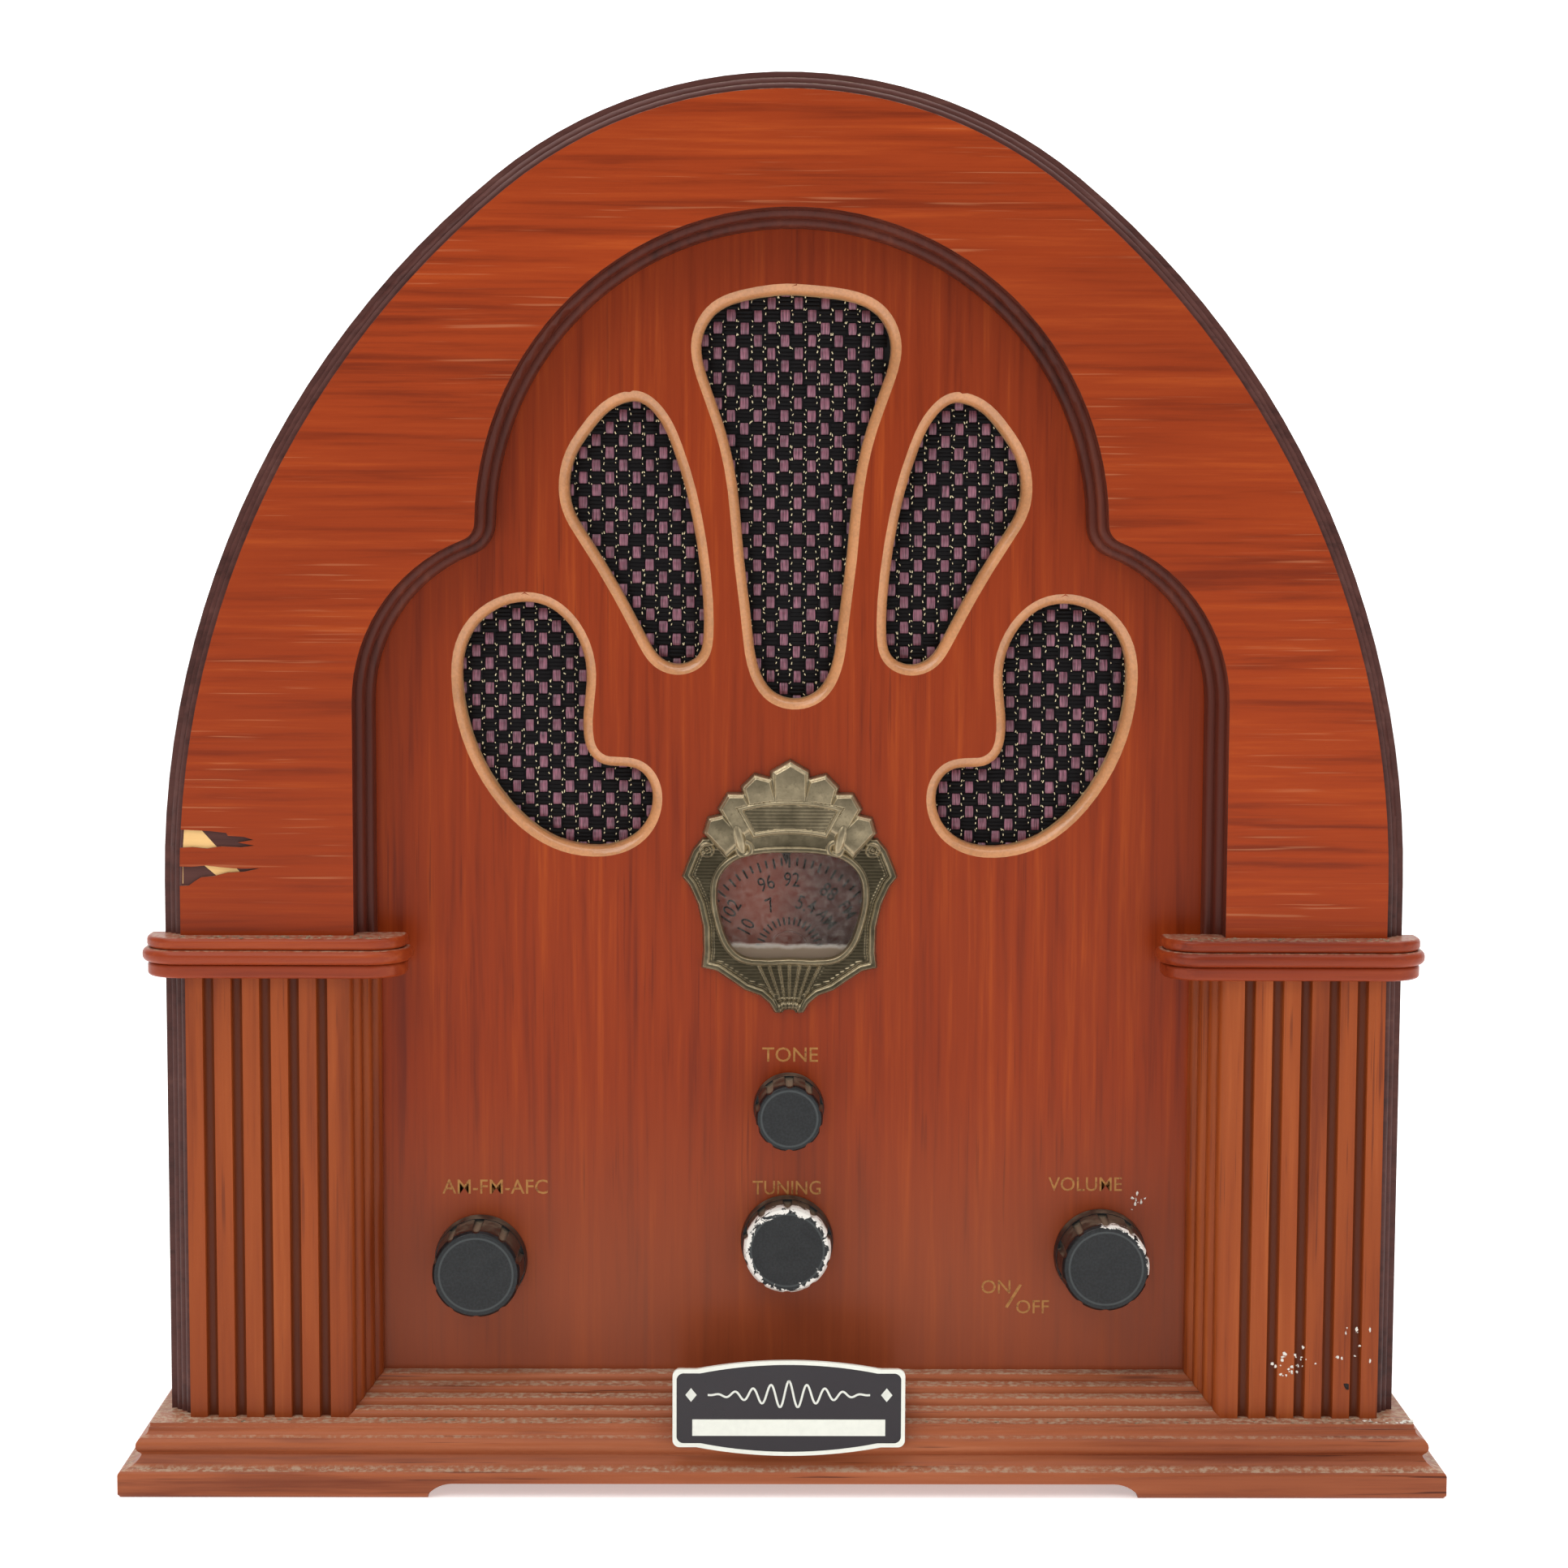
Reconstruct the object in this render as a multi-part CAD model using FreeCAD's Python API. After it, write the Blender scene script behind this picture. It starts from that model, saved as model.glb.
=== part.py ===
import FreeCAD, Part
import math
import os

os.makedirs("parts", exist_ok=True)

# Cathedral table radio.  Units are mm, +Z up, the front faces -Y, Z = 0 is the surface it stands on.
# ---------------------------------------------------------------- driving dimensions
TOP_Z = 322.7            # crown of the arch
BASE_Z = 15.5            # top of the plinth, where the cabinet stands
HALF_W = 142.4           # half of the arch board's width
CROWN_R = 104.8          # radius of the crown arc
SPRING_Z = 139.1         # height where the sides stop being straight
LEDGE_HALF = 145.2       # half width of the plinth's top
LEDGE_FRONT_Y = -76.8    # front edge of the plinth's top
OVERHANG = 6.4           # how far the plinth's foot stands out beyond its top
PLINTH_Y = LEDGE_FRONT_Y - OVERHANG    # front of the plinth; its back is as far behind the origin
ARCH_Y = -69.5           # front face of the arch board, over its veneer
PILASTER_Y = -72.3       # front face of the fluted pilasters
PANEL_Y = -54.5          # front face of the inner panel
PANEL_T = 6.0
BACK_Y = 80.0            # rear edge of the cabinet shell
VENEER_T = 0.6
GAP = 0.3                # clearance between neighbouring curved faces
FACE_X = 1.2             # the cut-out, panel and dial sit this far right of the cabinet's middle
PILLAR_X = 0.4           # middle between the two pilasters

OPEN_HALF = 100.0        # half width of the cut-out in the arch board
UPPER_R = 72.0           # big upper lobe of the cut-out
UPPER_Z = 220.5
SHOULDER_R = 39.8        # side lobes of the cut-out
SHOULDER_Z = 180.6
CUSP_R = 4.0             # rounding of the cusp between two lobes
REEDS = 3                # reeds on both edges of the arch board
REED_W = 1.75            # width of one inner reed
EDGE_W = 1.35            # width and depth of one outer reed
RETURN_REEDS = 4         # reeds of the pilasters' inner returns and of the rail between them
RETURN_W = 1.62

CAPITAL_Z = (118.1, 127.3)
CAPITAL_X = (85.6, 147.2)
PIL_OUT = 137.1          # outer edge of a pilaster, from the middle between them
PIL_IN = 100.9
RECESS_HALF = 103.4      # the arch board is cut away this far from the middle between the pilasters

DIAL_Z = 120.9           # axis of the dial disc
DIAL_R = 25.0
SHAFT_R = 3.0
KNOB_BACK_Y = -55.3
KNOBS = {                # x from the middle of the front, z, radius, y of the flat cap
    "volume": (73.5, 49.9, 10.9, -69.0),
    "band": (-72.3, 48.3, 10.9, -69.5),
    "tuning": (-0.3, 53.1, 10.9, -65.0),
    "tone": (0.0, 84.9, 8.3, -69.0),
}
KNOB_BORE = 3.0          # solid cap of a knob in front of its shaft
GRIPS = 10

SPEAKER_Z = 215.1
SPEAKER_R = 51.0
SPEAKER_SCREW_R = 48.95  # circle of the loudspeaker's four screws

SHELL_OUT = 1.6          # the shell's outside and inside, inwards from the arch's outline
SHELL_IN = 8.6
CLEAT_Y = (59.0, 73.0)
BACK_T = 3.0
BACK_POINTS = ((-126.0, 40.0, 9.0, 12.0), (126.0, 40.0, 9.0, 12.0), (-124.0, 150.0, 10.0, 12.0),
               (124.0, 150.0, 10.0, 12.0), (-75.0, 258.0, 12.0, 12.0), (75.0, 258.0, 12.0, 12.0))
CORD_AT = (92.0, 34.0)
TERMINAL_X = (-86.0, -74.0)
TERMINAL_Z = 110.0

WINDOW_HALF = [(7.5, 144.6), (12.8, 143.0), (16.2, 139.4), (16.9, 134.1), (15.7, 128.1),
               (13.8, 123.5), (10.6, 120.7), (5.5, 120.1)]
WINDOW_Z = (120.3, 145.0)
ESCUTCHEON_PINS = ((-17.6, 123.4), (17.6, 123.4), (0.0, 158.0))
PIN_R = 0.85
PIN_SOCKET = 0.9         # depth of the blind sockets in the back of the dial surround
LEAF_EDGE = [(20.4, 148.4), (22.6, 145.7), (24.0, 142.3), (25.1, 139.4), (23.4, 137.3), (21.4, 132.9),
             (20.2, 127.5), (20.1, 121.7), (20.5, 118.0), (17.0, 117.2), (13.4, 114.8), (10.4, 112.7),
             (6.8, 111.4), (4.6, 109.5), (3.4, 107.4), (2.2, 107.2), (1.2, 108.3)]
PETALS = ((0.0, 161.1, 5.6, 2.9), (7.1, 159.0, 4.7, 2.6), (12.4, 155.0, 4.6, 2.4), (16.3, 150.3, 4.1, 2.2))
PLATE_T = 1.3

DISC_Y = (-46.6, -45.6)
DRUM_Y = (-44.0, -36.0)
DRUM_R = 18.0
CAP_SHAFT_R = 3.0
GANG_Y = (-30.0, 2.0)
GANG_AT = (FACE_X, DIAL_Z)
BUSH_R = 3.7
RUN_FIT = 0.06           # radial running clearance of shafts
POT_Y = PANEL_Y + PANEL_T

CLOTH_T = 0.5
BAFFLE_T = 5.0
CLOTH_Y = PANEL_Y + PANEL_T
BAFFLE_Y = CLOTH_Y + CLOTH_T
BASKET_Y = BAFFLE_Y + BAFFLE_T
BAFFLE_HOLE_R = 45.8
BAFFLE_POINTS = [(FACE_X + side * x, z) for x, z in ((92, 152), (92, 207), (58, 264)) for side in (-1, 1)]
BAFFLE_SCREW_L = 8.5
SPEAKER_POINTS = [(FACE_X + SPEAKER_SCREW_R * math.cos(math.radians(a)),
                   SPEAKER_Z + SPEAKER_SCREW_R * math.sin(math.radians(a))) for a in (45, 135, 225, 315)]

BOARD = (-104.0, 40.0, 30.0, 66.0)
BOARD_Z = 30.0
STANDOFFS = ((-98, 36), (-98, 60), (34, 36), (34, 60))
TR_AT = (84.0, 30.0)
ROD_Y, ROD_Z = 40.0, 178.0

BADGE_Z = 20.6
BADGE_HALF = (26.5, 9.05)
BADGE_Y = -82.0
BADGE_T = 1.0

V = FreeCAD.Vector
X_AXIS = V(1, 0, 0)
Y_AXIS = V(0, 1, 0)
Z_AXIS = V(0, 0, 1)


# ---------------------------------------------------------------- helpers
def save(name, shape):
    """Write one node as a STEP file."""
    shape.exportStep("parts/" + name + ".step")


def box(x0, x1, y0, y1, z0, z1):
    """Axis-aligned block between two corners."""
    return Part.makeBox(x1 - x0, y1 - y0, z1 - z0, V(x0, y0, z0))


def rod(r, x, z, y0, y1):
    """Round bar along Y."""
    return Part.makeCylinder(r, y1 - y0, V(x, y0, z), Y_AXIS)


def post(r, x, y, z0, z1):
    """Round bar along Z."""
    return Part.makeCylinder(r, z1 - z0, V(x, y, z0), Z_AXIS)


def cone_y(r0, r1, x, z, y0, y1):
    """Truncated cone along Y, radius r0 at y0 and r1 at y1."""
    return Part.makeCone(r0, r1, y1 - y0, V(x, y0, z), Y_AXIS)


def fuse(shapes):
    """Union of a list of shapes with the seams between them removed."""
    first = shapes[0]
    if len(shapes) > 1:
        first = first.fuse(shapes[1:])
    return first.removeSplitter()


def group(shapes):
    """Separate identical solids kept in one node."""
    return Part.makeCompound(shapes)


def mirrored(shape, x=0.0):
    """Mirror image across a plane of constant X."""
    return shape.mirror(V(x, 0, 0), X_AXIS)


def slab(wire, depth):
    """Extrude a closed wire lying in an XZ plane backwards along Y."""
    return Part.Face(wire).extrude(V(0, depth, 0))


def line(a, b):
    return Part.LineSegment(a, b).toShape()


def arc(a, m, b):
    return Part.Arc(a, m, b).toShape()


def polygon(points):
    """Closed face through points."""
    return Part.Face(Part.makePolygon(points + [points[0]]))


def smooth_loop(points, y):
    """Closed smooth curve through (x, z) points at depth y."""
    curve = Part.BSplineCurve()
    curve.interpolate([V(x, y, z) for x, z in points], PeriodicFlag=True)
    return Part.Wire([curve.toShape()])


def edges_at(shape, y, keep):
    """Edges that lie wholly in the plane at depth y and whose middle passes the test."""
    found = []
    for edge in shape.Edges:
        b = edge.BoundBox
        if abs(b.YMin - y) < 1e-4 and abs(b.YMax - y) < 1e-4:
            mid = edge.valueAt((edge.FirstParameter + edge.LastParameter) / 2)
            if keep(mid):
                found.append(edge)
    return found


def screw(r_head, r_body, x, z, y_head, y_tip, toward):
    """Round-head screw along Y with a cross recess; toward is +1 if the tip points to +Y."""
    head_h = r_head * 0.6
    head = Part.makeCylinder(r_head, head_h, V(x, y_head, z), V(0, -toward, 0))
    head = head.makeFillet(head_h * 0.6, [e for e in head.Edges if abs(e.BoundBox.Center.y
                                          - (y_head - toward * head_h)) < 1e-3 and e.Closed])
    body = Part.makeCylinder(r_body, abs(y_tip - y_head), V(x, y_head, z), V(0, toward, 0))
    top_y = y_head - toward * head_h
    slot_w = r_head * 0.22
    slot_l = r_head * 0.62
    slot_d = head_h * 0.5
    ya, yb = sorted((top_y - toward * 0.1, top_y + toward * slot_d))
    cross = [box(x - slot_l, x + slot_l, ya, yb, z - slot_w, z + slot_w),
             box(x - slot_w, x + slot_w, ya, yb, z - slot_l, z + slot_l)]
    return head.fuse(body).cut(cross[0]).cut(cross[1])


# ---------------------------------------------------------------- outlines
def arch_outline(inset, y, foot=BASE_Z):
    """Closed outline of the arch: straight sides, two flank arcs and a crown arc, all tangent."""
    crown_z = TOP_Z - CROWN_R
    rise = crown_z - SPRING_Z
    flank_r = (HALF_W ** 2 + rise ** 2 - CROWN_R ** 2) / (2 * (HALF_W - CROWN_R))
    flank_x = HALF_W - flank_r
    tilt = math.atan2(rise, -flank_x)

    def on_flank(angle, side):
        r = flank_r - inset
        return V(side * (flank_x + r * math.cos(angle)), y, SPRING_Z + r * math.sin(angle))

    half = HALF_W - inset
    crown = V(0, y, TOP_Z - inset)
    edges = [
        line(V(-half, y, foot), V(half, y, foot)),
        line(V(half, y, foot), V(half, y, SPRING_Z)),
        arc(V(half, y, SPRING_Z), on_flank(tilt / 2, 1), on_flank(tilt, 1)),
        arc(on_flank(tilt, 1), crown, on_flank(tilt, -1)),
        arc(on_flank(tilt, -1), on_flank(tilt / 2, -1), V(-half, y, SPRING_Z)),
        line(V(-half, y, SPRING_Z), V(-half, y, foot)),
    ]
    return Part.Wire(edges)


def opening_outline(inset, y, foot=BASE_Z - 5.0):
    """Closed outline of the lobed cut-out: one big upper lobe, two shoulder lobes, soft cusps."""
    shoulder_x = OPEN_HALF - SHOULDER_R
    upper = (0.0, UPPER_Z)
    side = (shoulder_x, SHOULDER_Z)
    to_upper = UPPER_R + CUSP_R
    to_side = SHOULDER_R + CUSP_R
    dx = side[0] - upper[0]
    dz = side[1] - upper[1]
    dist = math.hypot(dx, dz)
    along = (to_upper ** 2 - to_side ** 2 + dist ** 2) / (2 * dist)
    off = math.sqrt(to_upper ** 2 - along ** 2)
    cusp = (upper[0] + (dx * along - dz * off) / dist, upper[1] + (dz * along + dx * off) / dist)

    def between(centre, target, r):
        d = math.hypot(target[0] - centre[0], target[1] - centre[1])
        return (centre[0] + (target[0] - centre[0]) * r / d, centre[1] + (target[1] - centre[1]) * r / d)

    def at(point, s):
        return V(FACE_X + s * point[0], y, point[1])

    low = between(side, cusp, SHOULDER_R - inset)
    high = between(upper, cusp, UPPER_R - inset)
    rc = CUSP_R + inset
    middle = between(cusp, ((low[0] + high[0]) / 2, (low[1] + high[1]) / 2), rc)
    half = OPEN_HALF - inset
    rise = math.atan2(low[1] - SHOULDER_Z, low[0] - shoulder_x) / 2
    r = SHOULDER_R - inset
    bend = (shoulder_x + r * math.cos(rise), SHOULDER_Z + r * math.sin(rise))
    spring = (half, SHOULDER_Z)
    edges = [
        line(at((half, foot), -1), at((half, foot), 1)),
        line(at((half, foot), 1), at(spring, 1)),
        arc(at(spring, 1), at(bend, 1), at(low, 1)),
        arc(at(low, 1), at(middle, 1), at(high, 1)),
        arc(at(high, 1), V(FACE_X, y, UPPER_Z + UPPER_R - inset), at(high, -1)),
        arc(at(high, -1), at(middle, -1), at(low, -1)),
        arc(at(low, -1), at(bend, -1), at(spring, -1)),
        line(at(spring, -1), at((half, foot), -1)),
    ]
    return Part.Wire(edges)


# ---------------------------------------------------------------- cabinet
def base_plinth():
    """Moulded plinth: one overhang profile mitred round the front and both sides."""
    back_y = -PLINTH_Y
    side_reach = LEDGE_HALF + 20.0

    def overhang_face(place, inner):
        """Profile of (overhang beyond the top, height): fascia, hollow, bead, hollow, fillet."""
        fascia = [(OVERHANG - 0.6, 0.0), (OVERHANG, 0.7), (OVERHANG, 5.0)]
        edges = [line(place(inner, 0.0), place(*fascia[0])), line(place(*fascia[0]), place(*fascia[1])),
                 line(place(*fascia[1]), place(*fascia[2]))]
        curves = (((OVERHANG, 5.0), (6.1, 5.7), (5.4, 6.0)), ((5.4, 6.0), (3.2, 6.8), (1.7, 8.7)),
                  ((2.1, 9.2), (2.9, 10.9), (1.8, 12.6)), ((1.2, 12.9), (0.5, 13.5), (0.3, 14.5)))
        for first, middle, last in curves:
            edges.append(arc(place(*first), place(*middle), place(*last)))
        edges.append(line(place(1.7, 8.7), place(2.1, 9.2)))
        edges.append(line(place(1.8, 12.6), place(1.2, 12.9)))
        edges.append(line(place(0.3, 14.5), place(0.0, 14.7)))
        edges.append(line(place(0.0, 14.7), place(0.0, BASE_Z)))
        edges.append(line(place(0.0, BASE_Z), place(inner, BASE_Z)))
        edges.append(line(place(inner, BASE_Z), place(inner, 0.0)))
        return Part.Face(Part.Wire(Part.__sortEdges__(edges)))

    front = overhang_face(lambda o, z: V(-side_reach, LEDGE_FRONT_Y - o, z), LEDGE_FRONT_Y - back_y)
    front = front.extrude(V(2 * side_reach, 0, 0))
    right = overhang_face(lambda o, z: V(LEDGE_HALF + o, PLINTH_Y - 5, z), -LEDGE_HALF)
    right = right.extrude(V(0, back_y - PLINTH_Y + 5, 0))
    solid = front.common(right.fuse(mirrored(right)).removeSplitter())

    foot_in, foot_out, foot_soft, lift = 75.5, 81.0, 2.2, 3.3
    soft_z = 0.8
    channel = Part.Wire([
        line(V(-foot_out, 0, -1), V(foot_out, 0, -1)),
        line(V(foot_out, 0, -1), V(foot_out, 0, soft_z)),
        arc(V(foot_out, 0, soft_z), V(foot_out - foot_soft, 0, 2.5), V(foot_in, 0, lift)),
        line(V(foot_in, 0, lift), V(-foot_in, 0, lift)),
        arc(V(-foot_in, 0, lift), V(-foot_out + foot_soft, 0, 2.5), V(-foot_out, 0, soft_z)),
        line(V(-foot_out, 0, soft_z), V(-foot_out, 0, -1)),
    ])
    cut = Part.Face(channel).extrude(V(0, back_y - PLINTH_Y + 10, 0))
    cut.translate(V(0, PLINTH_Y - 5, 0))
    return solid.cut(cut)


def arch_board():
    """Thick front board with a lobed cut-out; both edges step back in rounded reeds."""
    face_y = ARCH_Y + VENEER_T
    layer = (PANEL_Y - face_y) / REEDS
    rim = REEDS * EDGE_W + 2.0
    rings = []
    for i in range(REEDS):
        y0 = face_y + i * layer
        ring = slab(arch_outline(rim, y0), layer).cut(slab(opening_outline(i * REED_W + 0.35, y0), layer))
        lip = edges_at(ring, y0, lambda m: m.z > BASE_Z + 0.5 and m.z < UPPER_Z + UPPER_R + 1
                       and abs(m.x - FACE_X) < OPEN_HALF + 1)
        rings.append(ring.makeFillet(REED_W * 0.85, lip))
    for i in range(REEDS):
        y0 = face_y + i * EDGE_W
        disc = slab(arch_outline((REEDS - i) * EDGE_W, y0), PANEL_Y - y0)
        lip = edges_at(disc, y0, lambda m: m.z > BASE_Z + 0.5)
        disc = disc.makeFillet(EDGE_W * 0.7, lip)
        rings.append(disc.cut(slab(arch_outline(rim + 2.0, y0 - 1), PANEL_Y - y0 + 2)))
    edge = slab(arch_outline(0.0, face_y + REEDS * EDGE_W), PANEL_Y - face_y - REEDS * EDGE_W)
    rings.append(edge.cut(slab(arch_outline(rim, ARCH_Y), PANEL_Y - ARCH_Y + 2)))
    board = fuse(rings)
    recess = box(PILLAR_X - RECESS_HALF, PILLAR_X + RECESS_HALF, face_y - 1, PANEL_Y + 1,
                 BASE_Z - 1, CAPITAL_Z[0])
    return board.cut(recess)


def arch_veneer():
    """Thin face veneer of the arch board, with two splits and a nick broken out of its edge."""
    outer = REEDS * EDGE_W + 0.25
    sheet = slab(arch_outline(outer, ARCH_Y, CAPITAL_Z[1]), VENEER_T)
    sheet = sheet.cut(slab(opening_outline(0.2, ARCH_Y), VENEER_T))
    edge = -HALF_W - 2.0
    upper = [(edge, 151.7), (-135.0, 151.4), (-131.2, 151.2), (-127.4, 150.8), (-127.0, 150.1),
             (-123.4, 149.9), (-121.2, 149.2), (-124.8, 148.6), (-121.0, 147.9), (-124.0, 147.5), (-128.6, 147.7),
             (-131.8, 147.2), (-135.2, 147.5), (edge, 147.0)]
    lower = [(edge, 143.2), (-135.4, 143.0), (-132.0, 143.3), (-128.6, 142.9), (-124.0, 142.6),
             (-119.8, 142.7), (-123.4, 141.9), (-127.2, 141.7), (-130.2, 140.9), (-133.2, 140.6),
             (-134.8, 139.6), (-136.0, 138.7), (edge, 138.3)]
    nick = [(124.0, 231.1), (118.0, 231.4), (117.2, 230.3), (118.6, 228.7), (119.8, 226.4),
            (121.8, 224.6), (126.0, 223.1)]
    for points in (upper, lower, nick):
        chip = polygon([V(x, ARCH_Y - 1, z) for x, z in points]).extrude(V(0, 3, 0))
        sheet = sheet.cut(chip)
    return sheet


def centre_opening(y):
    """Outline of the tall middle grille opening, from its own centre line."""
    half = [(11.4, 272.7), (18.6, 269.5), (21.8, 263.1), (20.4, 254.6), (16.8, 244.5),
            (13.6, 230.6), (11.9, 213.1), (10.0, 197.4), (8.3, 187.5), (4.9, 182.3)]
    points = [(0, 273.9)] + half + [(0, 180.7)] + [(-x, z) for x, z in reversed(half)]
    return smooth_loop([(FACE_X + 1.0 + x, z) for x, z in points], y)


def upper_opening(y, side):
    """Outline of the leaf-shaped opening beside the middle one."""
    points = [(38.1, 249.4), (43.0, 247.3), (47.4, 242.5), (50.9, 236.9), (52.3, 230.9),
              (51.6, 224.9), (48.6, 219.3), (44.0, 212.1), (38.5, 202.5), (34.3, 194.5),
              (31.0, 190.0), (26.6, 188.7), (22.6, 190.7), (21.2, 196.3), (21.6, 206.9),
              (22.9, 217.2), (25.2, 228.4), (28.5, 238.9), (32.4, 246.3)]
    return smooth_loop([(FACE_X + 1.0 + side * x, z) for x, z in points], y)


def kidney_opening(y, side):
    """Outline of the low kidney-shaped opening with its inward notch."""
    points = [(62.6, 203.1), (69.1, 201.4), (74.2, 197.1), (76.8, 191.5), (77.3, 184.7),
              (76.2, 176.5), (73.4, 168.0), (68.4, 159.3), (61.8, 152.1), (54.2, 147.6),
              (46.8, 146.2), (40.2, 147.2), (35.4, 150.7), (33.2, 155.7), (33.6, 160.7),
              (36.1, 163.9), (40.2, 164.9), (44.4, 165.3), (47.6, 167.7), (49.1, 172.4),
              (48.9, 179.6), (48.4, 186.7), (49.8, 193.3), (53.4, 199.0), (57.6, 202.1)]
    return smooth_loop([(FACE_X + 1.0 + side * x, z) for x, z in points], y)


def window_outline(grow, y):
    """Rounded trapezium of the dial window, widened on all sides by a margin."""
    middle_z = (WINDOW_Z[0] + WINDOW_Z[1]) / 2
    half = [(x + grow * math.copysign(min(1, x / 10), x), z + grow * (z - middle_z) / 12.5)
            for x, z in WINDOW_HALF]
    other_half = [(-x, z) for x, z in reversed(half)]
    points = [(0, WINDOW_Z[1] + grow)] + half + [(0, WINDOW_Z[0] - grow)] + other_half
    return smooth_loop([(FACE_X + x, z) for x, z in points], y)


def front_panel():
    """Inner panel: five routed grille openings, the dial window and four control holes."""
    inset = 9.0
    solid = slab(arch_outline(inset, PANEL_Y), PANEL_T)
    reach = PANEL_T + 2
    for wire in (centre_opening(PANEL_Y - 1), upper_opening(PANEL_Y - 1, 1), upper_opening(PANEL_Y - 1, -1),
                 kidney_opening(PANEL_Y - 1, 1), kidney_opening(PANEL_Y - 1, -1)):
        solid = solid.cut(slab(wire, reach))
    rims = edges_at(solid, PANEL_Y, lambda m: m.z < 278 and abs(m.x) < 90 and m.z > BASE_Z + 1)
    solid = solid.makeFillet(2.3, rims)
    solid = solid.cut(slab(window_outline(0.6, PANEL_Y - 1), reach))
    for x, z, _, _ in KNOBS.values():
        solid = solid.cut(rod(3.9, FACE_X + x, z, PANEL_Y - 1, PANEL_Y + reach))
    for x, z in BAFFLE_POINTS:
        solid = solid.cut(rod(1.3, x, z, BASKET_Y - BAFFLE_SCREW_L - 0.3, PANEL_Y + reach))
    for x, z in ESCUTCHEON_PINS:
        solid = solid.cut(rod(0.9, FACE_X + x, z, PANEL_Y - 1, PANEL_Y + reach))
    return solid


def pilaster():
    """Right-hand fluted pilaster: flat lands, hollow flutes and a reeded inner return."""
    face_y = ARCH_Y + VENEER_T
    lands = 6
    flute_w, flute_d, taper = 2.6, 1.9, 0.25
    land_w = (PIL_OUT - PIL_IN - (lands - 1) * flute_w) / lands
    depth = (PANEL_Y - PILASTER_Y) / RETURN_REEDS
    lip = RETURN_W * 1.3
    nook = 1 - math.sqrt(0.5)

    def p(x, y):
        return V(PILLAR_X + x, y, BASE_Z)

    edges = []
    for i in range(lands):
        x0 = PIL_IN + i * (land_w + flute_w)
        x1 = x0 + land_w
        edges.append(line(p(x0, PILASTER_Y), p(x1, PILASTER_Y)))
        if i < lands - 1:
            x2 = x1 + flute_w
            floor_y = PILASTER_Y + flute_d * 0.75
            edges.append(line(p(x1, PILASTER_Y), p(x1 + taper, floor_y)))
            deepest = p((x1 + x2) / 2, PILASTER_Y + flute_d)
            edges.append(arc(p(x1 + taper, floor_y), deepest, p(x2 - taper, floor_y)))
            edges.append(line(p(x2 - taper, floor_y), p(x2, PILASTER_Y)))
    edges.append(line(p(PIL_OUT, PILASTER_Y), p(PIL_OUT, face_y)))
    edges.append(line(p(PIL_OUT, face_y), p(RECESS_HALF, face_y)))
    edges.append(line(p(RECESS_HALF, face_y), p(RECESS_HALF, PANEL_Y)))
    edges.append(line(p(RECESS_HALF, PANEL_Y), p(PIL_IN - RETURN_REEDS * RETURN_W, PANEL_Y)))
    for i in range(RETURN_REEDS):
        x_out = PIL_IN - i * RETURN_W
        x_in = x_out - RETURN_W
        y_front = PILASTER_Y + i * depth
        bulge = p(x_in + RETURN_W * nook, y_front + lip * nook)
        edges.append(arc(p(x_in, y_front + lip), bulge, p(x_out, y_front)))
        edges.append(line(p(x_in, y_front + lip), p(x_in, y_front + depth)))
    solid = Part.Face(Part.Wire(Part.__sortEdges__(edges))).extrude(V(0, 0, CAPITAL_Z[0] - BASE_Z))
    reach = 9.0
    mitre = polygon([p(PIL_IN, PILASTER_Y - 1), p(PIL_IN - reach, PILASTER_Y - 1),
                     p(PIL_IN - reach, PILASTER_Y - 1) + V(0, 0, reach)])
    return solid.cut(mitre.extrude(V(0, PANEL_Y - PILASTER_Y + 2, 0)))


def bottom_rail():
    """Low reeded rail under the panel, mitred against both pilasters."""
    layers = []
    depth = (PANEL_Y - PILASTER_Y) / RETURN_REEDS
    for i in range(RETURN_REEDS):
        y0 = PILASTER_Y + i * depth
        top = BASE_Z + (i + 1) * RETURN_W
        strip = box(PILLAR_X - PIL_IN, PILLAR_X + PIL_IN, y0, PANEL_Y, BASE_Z, top)
        lip = [e for e in strip.Edges
               if abs(e.BoundBox.YMax - y0) < 1e-4 and abs(e.BoundBox.ZMin - top) < 1e-4]
        layers.append(strip.makeFillet(RETURN_W * 0.85, lip))
    solid = fuse(layers)
    reach = 9.0
    for side in (-1, 1):
        x = PILLAR_X + side * PIL_IN
        top, y = BASE_Z + reach, PILASTER_Y - 1
        wedge = polygon([V(x, y, BASE_Z), V(x - side * reach, y, top), V(x + side * 3, y, top),
                         V(x + side * 3, y, BASE_Z)])
        solid = solid.cut(wedge.extrude(V(0, PANEL_Y - PILASTER_Y + 2, 0)))
    return solid


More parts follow.
